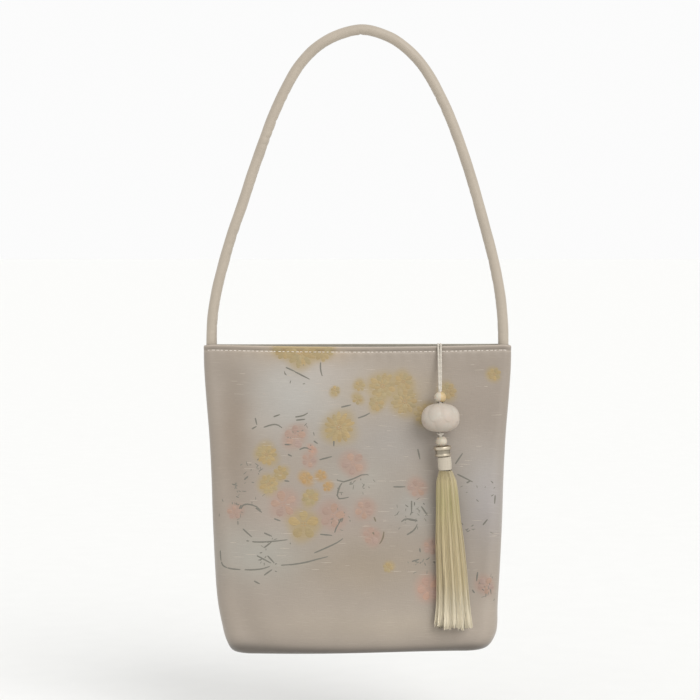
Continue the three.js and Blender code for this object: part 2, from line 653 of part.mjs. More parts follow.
// The skirt: locks of strands, fused side by side, that hang from the neck and lie on the panel.
// A section square to their run is an ellipse with a groove between each two locks, and each lock
// ends at its own length. The underside is drawn up between the locks' tips.
function tasselSkirt() {
  const lockSteps = 4;
  const around = skirtLocks * lockSteps;
  const shares = [0, 0.05, 0.12, 0.22, 0.36, 0.52, 0.7, 0.86, 1];
  const points = [];
  const sectionPoint = (share, c, width, drawnUp) => {
    const turn = c / around * 2 * Math.PI;
    const value = (column) => along(skirtSections, 'down', share, column);
    const ridge = Math.cos(skirtLocks * turn);
    const radius = width * (1 + lockGroove * value('groove') * ridge);
    const shortfall = lockShortfalls[Math.round(c / lockSteps) % skirtLocks % lockShortfalls.length];
    const drop = skirtDrop + skirtLength * share * (1 - shortfall * share * share) - drawnUp;
    const aside = new THREE.Vector3(
      radius * skirtSpread / 2 * value('width') * Math.cos(turn),
      radius * skirtThickness / 2 * value('thickness') * Math.sin(turn),
      0,
    );
    const up = pendantPoint(drop - 1).sub(pendantPoint(drop + 1)).normalize();
    return pendantPoint(drop).add(aside).addScaledVector(up, -aside.dot(up));
  };
  for (const share of shares) {
    for (let c = 0; c < around; c += 1) points.push(sectionPoint(share, c, 1, 0));
  }
  for (let c = 0; c < around; c += 1) points.push(sectionPoint(1, c, tipCore, tipHollow));
  const rows = shares.length + 1;
  const triangles = [];
  for (let r = 0; r < rows - 1; r += 1) {
    for (let c = 0; c < around; c += 1) {
      const beside = (c + 1) % around;
      triangles.push([r * around + c, r * around + beside, (r + 1) * around + beside]);
      triangles.push([r * around + c, (r + 1) * around + beside, (r + 1) * around + c]);
    }
  }
  const head = points.push(pendantPoint(skirtDrop)) - 1;
  const tip = points.push(pendantPoint(tipDrop - tipHollow)) - 1;
  const lastRow = (rows - 1) * around;
  for (let c = 0; c < around; c += 1) {
    const beside = (c + 1) % around;
    triangles.push([head, beside, c]);
    triangles.push([tip, lastRow + c, lastRow + beside]);
  }
  return surface(points, triangles);
}

const brocade = { color: '#b1a297', roughness: 0.5, metalness: 0 };
const rolledSatin = { color: '#bfb3a0', roughness: 0.5, metalness: 0 };
const thread = { color: '#cfc3ae', roughness: 0.6, metalness: 0 };
const carvedBone = { color: '#ddd3c2', roughness: 0.45, metalness: 0 };
const honeyStone = { color: '#d2bb98', roughness: 0.25, metalness: 0 };
const paleMetal = { color: '#d8ccb4', roughness: 0.3, metalness: 0.6 };
const neckSatin = { color: '#cbbfa8', roughness: 0.45, metalness: 0 };
const tasselThread = { color: '#b8a880', roughness: 0.6, metalness: 0 };

const purse = new THREE.Group();

function place(name, geometry, finish) {
  const mesh = new THREE.Mesh(geometry, new THREE.MeshStandardMaterial(finish));
  mesh.name = name;
  purse.add(mesh);
  return mesh;
}

function hang(name, geometry, finish, drop, height) {
  threaded(place(name, geometry, finish), drop, height);
}

place('front_panel', bagPanel({ side: -1, folds: frontFolds, sag: rimSag }), brocade);
place('back_panel', bagPanel({ side: 1, folds: backFolds, sag: backSag }), brocade);
place('handle', rolledHandle(), rolledSatin);
place('pendant_cord', pendantCord(), thread);
hang('bead_top', roundBead(beadTopDiameter), honeyStone, beadTopDrop, beadTopDiameter);
hang('lotus_bead', lotusBead(), carvedBone, lotusDrop, lotusHeight);
hang('bead_bottom', roundBead(beadBottomDiameter), honeyStone, beadBottomDrop,
  beadBottomDiameter);
hang('tassel_collar', tasselCollar(), paleMetal, collarDrop, collarHeight);
hang('tassel_neck', tasselNeck(), neckSatin, neckDrop, neckLength);
place('tassel_skirt', tasselSkirt(), tasselThread);

export default purse;
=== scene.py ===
"""A soft brocade purse with blossoms in raised floss, a rolled handle and a tassel pendant.

Metres, in the frame's own place. Every surface is worked out as whole arrays on a grid: the bag's
walls from the same sections and folds as its solids, and what lies on them from those walls.
"""

import math

import bpy
import numpy as np
from bpy.props import FloatProperty, FloatVectorProperty, IntProperty, PointerProperty
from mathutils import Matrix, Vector


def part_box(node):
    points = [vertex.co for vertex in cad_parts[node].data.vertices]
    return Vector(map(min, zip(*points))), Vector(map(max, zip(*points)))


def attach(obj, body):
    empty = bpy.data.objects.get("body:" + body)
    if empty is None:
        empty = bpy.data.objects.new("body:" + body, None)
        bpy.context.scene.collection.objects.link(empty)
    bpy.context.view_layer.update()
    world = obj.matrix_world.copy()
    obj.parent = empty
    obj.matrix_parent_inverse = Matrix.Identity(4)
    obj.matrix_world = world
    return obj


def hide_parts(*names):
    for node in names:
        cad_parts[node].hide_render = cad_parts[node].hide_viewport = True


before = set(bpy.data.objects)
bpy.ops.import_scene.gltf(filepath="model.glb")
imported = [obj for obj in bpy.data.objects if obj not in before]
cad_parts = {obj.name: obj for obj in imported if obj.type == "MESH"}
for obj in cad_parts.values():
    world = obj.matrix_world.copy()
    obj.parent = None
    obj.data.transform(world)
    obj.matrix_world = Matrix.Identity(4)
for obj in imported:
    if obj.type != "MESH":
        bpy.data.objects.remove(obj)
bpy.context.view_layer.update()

bl_info = {
    "name": "Brocade purse",
    "version": (1, 0, 0),
    "blender": (4, 5, 0),
    "location": "3D View > Sidebar > Purse",
    "description": "Dresses the purse with brocade, embroidery, thread, beads and a tassel",
    "category": "Add Mesh",
}

MM = 0.001


def table(columns, *rows):
    """A table with named columns, each kept as one array."""
    return dict(zip(columns.split(), np.array(rows, float).T))


# Bag body, as its solids have it
RIM_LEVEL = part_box("back_panel")[1][2]
BODY_HEIGHT = RIM_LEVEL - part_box("back_panel")[0][2]
RIM_WIDTH = 209.7 * MM
PANEL_SWELL = 5.2 * MM
SIDE_PINCH = 2.2 * MM
BASE_CORNER = 13 * MM
BASE_DEPTH = 55 * MM
SIDE_TURN_REACH = 9 * MM
SIDE_TURN_HEIGHT = 16 * MM
FRONT_TURN = 7 * MM
WALL = 1.5 * MM
HEM_ROLL = 0.5 * MM
HEM_PROUD = 0.4 * MM
STITCH_DROP = 3.1 * MM
STITCH_PINCH = 0.5 * MM
STITCH_REACH = 1.3 * MM
FOLD_DEPTH = 3.4 * MM
FOLD_WIDTH = 15 * MM
FOLD_FADE_TOP = 22 * MM
FOLD_FADE_BASE = 20 * MM
CLEARANCE = 0.3 * MM
SEAM_GAP = 0.06 * MM
SEAM_ROLL = 1.1 * MM
SIDE_LEG = 0.8 * MM
FACE_SHARE = 0.72
CORNER_SHARE = 0.9
SEAM_SHARE = 0.985

# How the hanging cloth departs from the solids: its rim's corners, lower corners and base
RIM_CORNER_HEIGHT = 3.5 * MM
RIM_CORNER_DROOP = 0.8 * MM
LEAN_HEIGHT = 7 * MM
LEAN_LEFT = 3.2 * MM
LEAN_RIGHT = 1 * MM
BASE_LIFT = 1.9 * MM

HANDLE_DIAMETER = 7.2 * MM
HANDLE_RISE = HANDLE_DIAMETER / 2 - RIM_LEVEL
HANDLE_TUCK = 15 * MM
RIM_END = HANDLE_DIAMETER / 2 + WALL + 2 * CLEARANCE

# Shares, as the solids' tables have them: down of the height, width of half the rim's width, depth
# and corner from the rim's to the base's, swell of PANEL_SWELL, pinch of SIDE_PINCH.
BODY = table(
    "down width depth corner swell pinch",
    (0.00, 1.0000, 0.000, 0.00, 0.88, 0.00),
    (0.08, 0.9970, 0.080, 0.10, 0.92, 0.15),
    (0.18, 0.9830, 0.185, 0.22, 0.98, 0.50),
    (0.30, 0.9635, 0.313, 0.38, 1.00, 0.85),
    (0.43, 0.9500, 0.452, 0.52, 0.94, 1.00),
    (0.56, 0.9415, 0.598, 0.66, 0.82, 0.95),
    (0.70, 0.9285, 0.754, 0.80, 0.68, 0.75),
    (0.82, 0.9140, 0.886, 0.92, 0.66, 0.50),
    (0.91, 0.9000, 0.965, 1.00, 0.70, 0.30),
    (1.00, 0.8850, 1.000, 1.00, 0.70, 0.10),
)
BASE_END = BASE_DEPTH / 2 - PANEL_SWELL * BODY["swell"][-1]

# A fold runs straight from one place to another. across is a share of half the rim's width, down
# of the height, width of FOLD_WIDTH, and rise of FOLD_DEPTH.
FRONT_FOLDS = table(
    "across1 down1 across2 down2 width rise",
    (-0.70, 0.14, -0.67, 0.62, 0.9, 0.30),
    (-0.87, 0.16, -0.84, 0.55, 0.8, -0.42),
    (-0.92, 0.07, -0.52, 0.24, 0.8, -0.26),
    (-0.38, 0.12, -0.04, 0.27, 2.0, 0.34),
    (-0.12, 0.72, 0.52, 0.70, 2.1, -0.52),
    (-0.60, 0.90, 0.58, 0.90, 1.3, 0.30),
    (-0.82, 0.80, -0.72, 0.96, 0.8, -0.60),
    (-0.64, 0.78, -0.58, 0.95, 0.8, 0.26),
    (0.80, 0.60, 0.74, 0.95, 0.8, -0.50),
    (0.82, 0.10, 0.88, 0.34, 1.2, -0.46),
    (0.76, 0.36, 0.80, 0.58, 0.8, 0.24),
)
BACK_FOLDS = table(
    "across1 down1 across2 down2 width rise",
    (-0.84, 0.12, -0.86, 0.50, 1.0, -0.44),
    (-0.66, 0.20, -0.70, 0.66, 0.9, 0.26),
    (0.85, 0.18, 0.82, 0.60, 0.9, -0.46),
    (0.92, 0.07, 0.50, 0.26, 0.8, -0.26),
    (-0.30, 0.34, 0.34, 0.40, 2.2, -0.40),
    (-0.10, 0.66, 0.40, 0.62, 2.0, 0.34),
    (0.78, 0.80, 0.70, 0.96, 0.8, -0.55),
    (-0.78, 0.74, -0.72, 0.95, 0.8, -0.50),
)
# side is -1 for the front and 1 for the back, sag how far the rim hangs down in its middle and
# droop on its left, and shift how far the cloth's repeat is moved across and down before the cut.
FRONT = {
    "name": "front_panel", "side": -1, "folds": FRONT_FOLDS, "sag": 1.4 * MM, "droop": 0,
    "shift": (0, 0),
}
BACK = {
    "name": "back_panel", "side": 1, "folds": BACK_FOLDS, "sag": 0.4 * MM, "droop": 0.3 * MM,
    "shift": (64 * MM, 41 * MM),
}

# up is a share of the handle's rise, left and right of half the distance between its ends.
HANDLE = table(
    "up left right",
    (0.000, 1.000, 1.000), (0.075, 0.995, 0.995), (0.171, 0.963, 0.972), (0.268, 0.911, 0.931),
    (0.364, 0.848, 0.877), (0.460, 0.777, 0.821), (0.556, 0.709, 0.759), (0.652, 0.636, 0.690),
    (0.748, 0.556, 0.607), (0.845, 0.454, 0.502), (0.893, 0.386, 0.431), (0.941, 0.288, 0.332),
    (0.978, 0.160, 0.212), (1.000, -0.031, 0.031),
)
# The handle's creases that show: along is a share of its length, inner how far round its inner
# side the crease reaches, and depth of the deepest crease.
CREASES = table(
    "along inner depth width",
    (0.296, 0.9, 0.8, 1.0),
    (0.305, 1.0, 1.0, 1.1),
    (0.316, 0.8, 0.7, 0.9),
    (0.327, 0.9, 0.6, 1.2),
    (0.497, 1.4, 0.9, 0.8),
    (0.640, 1.0, 1.0, 0.9),
    (0.655, 0.8, 0.6, 1.1),
)
# Where a section of the handle faces the inside of its arch
INNER_SIDE = np.pi / 2 * 3

# Pendant
PENDANT_ACROSS = 55.6 * MM
PENDANT_LEAN = 9 * MM
THREAD_DROP = 30.9 * MM
STRAND_DIAMETER = 1.5 * MM
STRAND_SPREAD = 1.7 * MM
CORE_DIAMETER = 2.4 * MM
MERGE_SHARES = (0.3, 0.65, 1)
KNOT_WIDTH = 4.5 * MM
KNOT_HEIGHT = 1.7 * MM
ANCHOR_DROP = 10 * MM
ANCHOR_WIDTH = 4.4 * MM
BEAD_REST = 0.3 * MM
BEAD_NEST = 0.4 * MM
SLANT_FIT = 0.45 * MM
THREAD_FIT = 0.35 * MM
BEAD_TOP_DIAMETER = 7.9 * MM
BEAD_BOTTOM_DIAMETER = 7.8 * MM
LOTUS_WIDTH = 26.2 * MM
LOTUS_HEIGHT = 19.3 * MM
LOTUS_FULLNESS = 2.4
LOTUS_TILT = 0.14
LOTUS_LOBES = 8
LOTUS_GROOVE = 1.1 * MM
COLLAR_WIDTH = 11.7 * MM
COLLAR_HEIGHT = 6.7 * MM
COLLAR_SEAT = 1.2 * MM
NECK_WIDTH = 9.1 * MM
NECK_LENGTH = 8.9 * MM
NECK_BORE = 4.5 * MM
SKIRT_LENGTH = 107 * MM
SKIRT_SPREAD = 25.2 * MM
SKIRT_THICKNESS = 11.5 * MM
SKIRT_LOCKS = 12
LOCK_GROOVE = 0.13
CORE_END = 0.95

SKIRT = table(
    "down width thickness groove",
    (0.00, 0.355, 0.72, 0.10),
    (0.05, 0.520, 0.80, 0.20),
    (0.12, 0.590, 0.84, 0.35),
    (0.30, 0.645, 0.84, 0.50),
    (0.45, 0.720, 0.86, 0.65),
    (0.70, 0.785, 0.90, 0.80),
    (0.84, 0.850, 0.95, 0.90),
    (1.00, 1.000, 1.00, 1.00),
)
PENDANT = table(
    "down lean",
    (0.000, 0.00), (0.255, 0.00), (0.338, 0.05), (0.412, 0.33), (0.490, 0.47), (0.610, 0.60),
    (0.730, 0.76), (0.840, 0.90), (1.000, 1.00),
)
LOCK_SHORTFALLS = np.array([0.03, 0, 0.05, 0.02, 0.06, 0.01, 0.04, 0.07, 0.02, 0.05, 0, 0.04])

BEAD_TOP_DROP = THREAD_DROP + BEAD_TOP_DIAMETER / 2
LOTUS_DROP = THREAD_DROP + BEAD_TOP_DIAMETER - BEAD_NEST + CLEARANCE + LOTUS_HEIGHT / 2
KNOT_DROP = LOTUS_DROP + LOTUS_HEIGHT / 2 + CLEARANCE + KNOT_HEIGHT / 2
BEAD_BOTTOM_DROP = KNOT_DROP + KNOT_HEIGHT / 2 + CLEARANCE + BEAD_BOTTOM_DIAMETER / 2
COLLAR_DROP = (
    BEAD_BOTTOM_DROP + BEAD_BOTTOM_DIAMETER / 2 - COLLAR_SEAT + CLEARANCE + COLLAR_HEIGHT / 2
)
NECK_DROP = COLLAR_DROP + COLLAR_HEIGHT / 2 + SLANT_FIT + NECK_LENGTH / 2
SKIRT_DROP = NECK_DROP + NECK_LENGTH / 2 + SLANT_FIT
TIP_DROP = SKIRT_DROP + SKIRT_LENGTH

# The cloth's blossoms, in millimetres from the middle of the front and down from its rim. turn is
# in degrees, petals is their number in a ring, rings their rows.
GOLD_BLOSSOMS = table(
    "across below radius turn petals rings",
    (-39, 4.0, 11.5, 8, 13, 2),
    (-24, 3.0, 8.0, 20, 10, 1),
    (-50, 2.5, 7.5, 30, 10, 1),
    (-15, 30.0, 3.8, 40, 6, 1),
    (1.5, 27.0, 4.2, 10, 6, 1),
    (0.0, 36.0, 3.8, 55, 5, 1),
    (17, 27.0, 10.0, 15, 11, 2),
    (31, 24.0, 7.0, 30, 9, 1),
    (32, 37.5, 10.0, 0, 12, 2),
    (13, 38.5, 6.0, 50, 8, 1),
    (46, 47.0, 8.5, 25, 10, 2),
    (61, 31.0, 6.5, 5, 8, 1),
    (-12.5, 55.0, 11.5, 12, 14, 2),
    (-61.5, 74.0, 7.8, 33, 10, 2),
    (-60, 94.0, 7.2, 3, 9, 2),
    (-52, 86.5, 5.5, 50, 7, 1),
    (-32, 102.5, 6.2, 22, 8, 1),
    (-36.5, 121.0, 11.0, 18, 5, 1),
    (20.5, 150.0, 3.8, 45, 6, 1),
    (93, 20.0, 5.0, 15, 7, 1),
)
ORANGE_BLOSSOMS = table(
    "across below radius turn petals rings",
    (-34.5, 89.5, 4.8, 0, 6, 1),
    (-24.5, 87.5, 4.0, 40, 5, 1),
    (-20.5, 95.5, 3.6, 10, 5, 1),
)
PINK_BLOSSOMS = table(
    "across below radius turn petals rings",
    (-42.5, 61.5, 8.6, 10, 5, 1),
    (-3, 79.5, 8.8, 40, 5, 1),
    (-33, 77.5, 5.4, 65, 5, 1),
    (-50, 107.5, 9.8, 25, 5, 1),
    (-17, 115.0, 9.4, 0, 5, 1),
    (4.5, 111.0, 7.4, 50, 5, 1),
    (9.5, 128.5, 6.6, 15, 5, 1),
    (40, 96.5, 6.8, 30, 5, 1),
    (49.5, 136.5, 5.6, 5, 5, 1),
    (87, 163.0, 6.8, 55, 5, 1),
    (-83.5, 113.5, 5.6, 20, 5, 1),
)
ROSE_BLOSSOMS = table(
    "across below radius turn petals rings",
    (48, 165.0, 9.2, 35, 5, 1),
    (-31, 70.0, 3.0, 0, 5, 1),
)
# Twigs and stalks, each as a run of places: millimetres across and down, again and again.
GREY_STROKES = (
    (-93.5, 138.5, -93.3, 143, -92.8, 147),
    (-92.8, 146.5, -91.5, 149, -88, 150.8),
    (-89, 150.5, -84, 151.4, -78, 151.8),
    (-79, 151.8, -71, 151.8, -64, 151, -57, 148.5),
    (-57, 148.5, -48.5, 148.5, -36.5, 147, -27, 144.5, -15, 141.5),
    (-32, 141.5, -20.5, 136.5, -12.5, 132.5, -7.5, 128.5),
    (-79.5, 131.5, -69, 133, -57, 132.5, -44, 131),
    (-78.5, 123.5, -70.5, 130.5),
    (-64, 126.5, -57, 129.5),
    (-64, 137.5, -57.5, 132.5),
    (-69.5, 141.5, -57, 148),
    (-61.5, 141.5, -55.5, 148),
    (-64, 156, -57, 151),
    (-70.5, 159, -65.5, 161.5),
    (-26.5, 127.5, -16, 128.5),
    (-16, 128.5, -14.5, 123.5, -12, 119, -7.5, 113),
    (-80.5, 114, -77, 108, -71.5, 108, -67, 110, -64, 114),
    (-78.5, 107.5, -81, 113.5),
    (-69.5, 109.5, -64, 113.5),
    (-57, 117, -51.5, 119),
    (-44, 16.5, -31, 23),
    (-49.5, 14, -41.5, 17.5),
    (-25, 9.5, -25, 15.5, -23.5, 21.5),
    (-69.5, 48.5, -68, 54.5),
    (-72, 57, -68, 54.5),
    (-65.5, 56, -55, 53.5, -49.5, 57),
    (-57.5, 48.5, -52, 46.5),
    (-43.5, 48.5, -36.5, 47, -32.5, 44.5),
    (-42.5, 50.5, -34.5, 49.5),
    (-50, 67, -44, 67),
    (-40.5, 71, -35.5, 69, -30, 71),
    (-30, 64, -26.5, 66.5),
    (-47.5, 73.5, -44, 75),
    (-16, 63, -16, 68.5),
    (-1, 49, 5, 47, 9.5, 44.5),
    (-12, 41.5, -3.5, 39.5),
    (-27, 77.5, -16, 74.5),
    (-16, 87.5, -12, 92, 0.5, 88.5, 5, 86.5, 10.5, 89.5),
    (-11, 92.5, -13.5, 103, -3.5, 102),
    (-14, 103, -12.5, 96, -9.5, 91.5),
    (-77, 91.5, -74, 88.5),
    (-50, 91.5, -45.5, 92),
    (23, 95.5, 33.5, 95.5),
    (36.5, 104, 36.5, 113.5),
    (33.5, 117.5, 41.5, 119),
    (28.5, 120.5, 32, 117.5, 42, 118.5),
    (32, 129, 38.5, 124.5, 41, 119.5),
    (42.5, 108, 48, 116),
    (65.5, 81.5, 72, 72),
    (66, 86.5, 72, 89.5, 79.5, 93.5),
    (40.5, 69, 42.5, 78),
    (73.5, 93.5, 77, 91.5),
    (93.5, 101.5, 93, 108),
    (36, 146.5, 42.5, 144.5),
    (42, 137, 42.5, 140.5),
    (51.5, 146, 52.5, 148.5),
    (84.5, 122.5, 88.5, 117.5),
    (77.5, 165.5, 79.5, 168.5),
    (81.5, 153, 80.5, 161),
    (89.5, 161, 91, 169.5),
)
OLIVE_STROKES = (
    (11, 115.5, 12.5, 119.5),
    (18, 124.5, 17, 130.5, 14, 135.5),
    (9, 125, 12.5, 129),
    (55.5, 102, 57, 108),
)
# Scattered small leaves: the middle of each scatter, how far it spreads, and how many there are.
LEAF_SCATTERS = table(
    "across below spread_across spread_below leaves",
    (-80, 99, 9, 15, 30),
    (-69, 83, 5, 5, 12),
    (-12, 118, 8, 9, 14),
    (38, 116, 9, 9, 22),
    (42, 147, 7, 6, 10),
    (88, 163, 6, 8, 14),
    (76, 122, 9, 6, 8),
    (84, 96, 9, 9, 8),
    (-40, 60, 8, 6, 12),
    (-44, 20, 8, 5, 6),
    (-60, 138, 10, 8, 8),
    (2, 95, 16, 7, 14),
    (-62, 150, 12, 6, 6),
)
# Soft washes over the ground: woven tones, and rows of painted light and shade where the satin's
# sheen, hollows and bulges fall. Each has its place, half widths across and down, and strength.
WASHES_AND_PAINTED_LIGHT = (
    # These two rows are painted highlights: the satin's sheen on the upper left and upper middle.
    ("#a7a49e", -42, 34, 34, 28, 0.8),
    ("#a39b93", -14, 20, 22, 14, 0.6),
    # This row is painted shade: the left margin, turning away from the light.
    ("#857768", -84, 58, 12, 46, 0.75),
    ("#98958c", -64, 142, 32, 18, 0.8),
    ("#979389", 0, 92, 22, 14, 0.7),
    ("#95908a", 22, 66, 30, 20, 0.6),
    ("#93918a", 38, 110, 18, 14, 0.7),
    ("#97938d", 84, 96, 22, 34, 0.6),
    # This row is painted shade: the right margin near the top, turning away from the light.
    ("#897d71", 80, 42, 22, 30, 0.75),
    ("#a3917a", -34, 4, 32, 8, 0.9),
    ("#a0917a", 24, 30, 32, 13, 0.7),
    # This row is painted shade in the hollow across the lower middle.
    ("#8e806d", 6, 150, 46, 20, 0.65),
    # This row is painted light on the bulge near the base.
    ("#a09484", 20, 188, 80, 12, 0.6),
    ("#988980", -24, 112, 40, 16, 0.5),
    ("#a4988b", 84, 184, 18, 16, 0.7),
    ("#979190", 88, 108, 14, 26, 0.6),
)
# How wide and how high the pattern's repeat is
REPEAT_WIDTH = 214 * MM
REPEAT_HEIGHT = 222 * MM
# Rows of places along one raised shape, and how far its edges lie in the cloth
RAISED_ROWS = 8
SUNK = 0.1 * MM
# How far one petal's red, green, blue and alpha may drift from its silk's
HUE_DRIFT = np.array([0.05, 0.0, -0.07, 0.0])

# Camera: the photo's frame at the bag's middle plane, and where it looks
VIEW_WIDTH = 477.4 * MM
VIEW_DISTANCE = 1.5
VIEW_ELEVATION = 3
VIEW_AIM = (-5.1 * MM, 0, -213.5 * MM)


def linear(hex_colour):
    """An sRGB hex colour as linear red, green, blue and alpha."""
    srgb = np.array([int(hex_colour[i:i + 2], 16) for i in (1, 3, 5)]) / 255
    low = srgb / 12.92
    high = ((srgb + 0.055) / 1.055) ** 2.4
    return (*np.where(srgb <= 0.04045, low, high).tolist(), 1.0)


def colour(name, hex_colour):
    """A colour among the purse's settings, from a hex colour."""
    return FloatVectorProperty(
        name=name, description=f"Colour of the {name.lower()}", subtype="COLOR", size=4, min=0,
        max=1, default=linear(hex_colour))


def length(name, description, default):
    """A length among the purse's settings, in metres."""
    return FloatProperty(
        name=name, description=description, unit="LENGTH", subtype="DISTANCE", min=0,
        precision=5, default=default)


class PurseSizes(bpy.types.PropertyGroup):
    """Sizes of the fine work that the solids leave out"""

    stitch_pitch: length("Stitch pitch", "From one topstitch to the next", 3 * MM)
    stitch_width: length("Stitch width", "Width of the topstitching thread", 0.62 * MM)
    petal_rise: length("Petal rise", "How far the woven blossoms stand off the cloth", 0.07 * MM)
    handle_crease: length("Handle crease", "Depth of the deepest creases in the handle", 0.42 * MM)
    thread_twist: length("Thread twist", "Length of one turn of the pendant's thread", 3.4 * MM)
    strand_width: length("Strand width", "Width of one strand of the tassel", 0.5 * MM)
    strands: IntProperty(
        name="Strands", description="Loose strands in the tassel", default=1500, min=12)
    floor_drop: length("Floor drop", "From the purse's base down to the floor", 60 * MM)


class PurseColours(bpy.types.PropertyGroup):
    """Colours of the cloth, threads and beads"""

    ground: colour("Brocade ground", "#93887c")
    facing: colour("Facing", "#a49e90")
    gold: colour("Gold silk", "#98855f")
    orange: colour("Orange silk", "#9e8158")
    pink: colour("Pink silk", "#998173")
    rose: colour("Rose silk", "#a28372")
    grey_green: colour("Grey green silk", "#6b685e")
    olive: colour("Olive silk", "#706653")
    pale_weft: colour("Pale weft silk", "#b0a496")
    topstitch: colour("Topstitching", "#dad1c6")
    handle: colour("Handle satin", "#a89d8e")
    thread: colour("Pendant thread", "#bdb5a8")
    lotus: colour("Lotus bead", "#b4aca0")
    ivory: colour("Ivory bead", "#bfb5a4")
    ivory_painted_shade: colour("Ivory bead's side in painted shade", "#a89e8c")
    honey: colour("Honey bead", "#bda67c")
    collar: colour("Collar metal", "#c3b8a5")
    neck: colour("Neck silk", "#b6ac9b")
    tassel: colour("Tassel strands", "#bbab86")
    tassel_pale: colour("Tassel tip", "#cfc5ae")
    tassel_green: colour("Tassel heart", "#aba470")
    floor: colour("Floor", "#e9e9e7")


def smooth_step(value, low, high):
    """0 up to low, 1 from high on, and between them three times the square of the share of the way
    less twice its cube."""
    share = np.clip((value - low) / (high - low), 0, 1)
    return share * share * (3 - 2 * share)


def along(rows, key, at, column):
    """A table's column at any place: a cubic through its rows, with each row's slope from the rows
    on both sides of it."""
    keys, values = rows[key], rows[column]
    number = np.arange(len(keys))
    before = np.maximum(number - 1, 0)
    after = np.minimum(number + 1, len(keys) - 1)
    slope = (values[after] - values[before]) / (keys[after] - keys[before])
    i = np.searchsorted(keys[1:-1], at, side="left")
    span = keys[i + 1] - keys[i]
    s = (at - keys[i]) / span
    rest = 1 - s
    return (
        rest ** 2 * (1 + 2 * s) * values[i] + s ** 2 * (3 - 2 * s) * values[i + 1]
        + s * rest * span * (rest * slope[i] - s * slope[i + 1]))


def turned(above, reach, height):
    """How far a rounded edge is turned in: a quarter of an ellipse, reach across and height up."""
    share = np.clip(1 - above / height, 0, 1)
    return reach * (1 - np.sqrt(1 - share * share))


def hem_form(below):
    """How far the hem stands proud: a folded step down to the stitches, which pull the cloth in."""
    folded = 1 - smooth_step(below, STITCH_DROP, STITCH_DROP + STITCH_REACH)
    pull = np.exp(-((below - STITCH_DROP) / STITCH_REACH) ** 2)
    return HEM_PROUD * folded - STITCH_PINCH * pull


def fold_rise(folds, x, down):
    """The sum of the folds: each a soft ridge, a bell curve of the distance to its line."""
    x, down = np.broadcast_arrays(x, down)
    total = np.zeros(x.shape)
    for across1, down1, across2, down2, width, rise in zip(*folds.values()):
        start_x, start_down = across1 * RIM_WIDTH / 2, down1 * BODY_HEIGHT
        run_x = across2 * RIM_WIDTH / 2 - start_x
        run_down = down2 * BODY_HEIGHT - start_down
        from_x, from_down = x - start_x, down * BODY_HEIGHT - start_down
        share = (from_x * run_x + from_down * run_down) / (run_x ** 2 + run_down ** 2)
        near = np.clip(share, 0, 1)
        away = np.hypot(from_x - near * run_x, from_down - near * run_down)
        total += rise * np.exp(-((away / (width * FOLD_WIDTH)) ** 2))
    fade_top = smooth_step(down * BODY_HEIGHT, STITCH_DROP, FOLD_FADE_TOP)
    fade_base = smooth_step((1 - down) * BODY_HEIGHT, 0, FOLD_FADE_BASE)
    return FOLD_DEPTH * total * fade_top * fade_base


def cloth_relief(side, x, down):
    """Slight unevenness of soft satin: long low waves, and puckers that hang from the stitches."""
    below = down * BODY_HEIGHT
    waves = (
        np.sin(x / (9.1 * MM) + 1.7 * side + below / (23 * MM))
        + np.sin(x / (5.7 * MM) - below / (14 * MM) + 2.1)
        + 0.8 * np.sin(below / (6.3 * MM) + x / (31 * MM) + side))
    fade = smooth_step(below, STITCH_DROP, 30 * MM) * smooth_step(1 - down, 0, 0.08)
    pucker = np.cos(x * 2 * np.pi / (8.4 * MM) + np.sin(x / (17 * MM)))
    near_hem = np.exp(-((below - STITCH_DROP - 3 * MM) / (3.2 * MM)) ** 2)
    return 0.09 * MM * waves * fade + 0.13 * MM * pucker * near_hem


def section(down, inset):
    """The bag's level section at a share of its height, drawn in by inset: half width, depth and
    radius of its corners, the stretch between them, and its swell and pinch."""
    above = (1 - down) * BODY_HEIGHT
    half = RIM_WIDTH / 2 * along(BODY, "down", down, "width") - inset
    half = half - turned(above, SIDE_TURN_REACH, SIDE_TURN_HEIGHT)
    end = RIM_END + (BASE_END - RIM_END) * along(BODY, "down", down, "depth")
    end = end - turned(above, FRONT_TURN, FRONT_TURN) - inset
    corner = RIM_END + (BASE_CORNER - RIM_END) * along(BODY, "down", down, "corner") - inset
    corner = np.minimum(corner, end - SIDE_LEG)
    swell = PANEL_SWELL * along(BODY, "down", down, "swell")
    return half, end, corner, half - corner, swell, SIDE_PINCH * along(BODY, "down", down, "pinch")


def wall_place(panel, column, down, inset, gap=SEAM_GAP):
    """Place on a panel's wall, across and deep. column runs from one side seam, -1, to the other,
    1: the bowed face, then a round corner, then the flat side that rolls in at its seam."""
    half, end, corner, flat, swell, pinch = section(down, inset)
    hand, share = np.sign(column), np.abs(column)
    across = np.clip(column / FACE_SHARE, -1, 1)
    angle = np.clip((share - FACE_SHARE) / (CORNER_SHARE - FACE_SHARE), 0, 1) * np.pi / 2
    s = np.clip((share - CORNER_SHARE) / (1 - CORNER_SHARE), 0, 1)
    face_x = flat * across
    corner_x = hand * (flat + corner * np.sin(angle))
    side_depth = (end - corner) * (1 - s) + gap / 2 * s
    rolled = turned(side_depth, SEAM_ROLL, SEAM_ROLL)
    side_x = hand * (half - pinch * s * s * (3 - 2 * s) - rolled)
    x = np.where(share <= FACE_SHARE, face_x, np.where(share <= CORNER_SHARE, corner_x, side_x))
    rise = fold_rise(panel["folds"], x, down) + cloth_relief(panel["side"], x, down)
    face_depth = end + swell * (1 - across * across) ** 1.5 + rise
    corner_depth = end - corner + corner * np.cos(angle) + rise * np.cos(angle)
    depth = np.where(
        share <= FACE_SHARE, face_depth, np.where(share <= CORNER_SHARE, corner_depth, side_depth))
    return x + corner_lean(x, down), depth


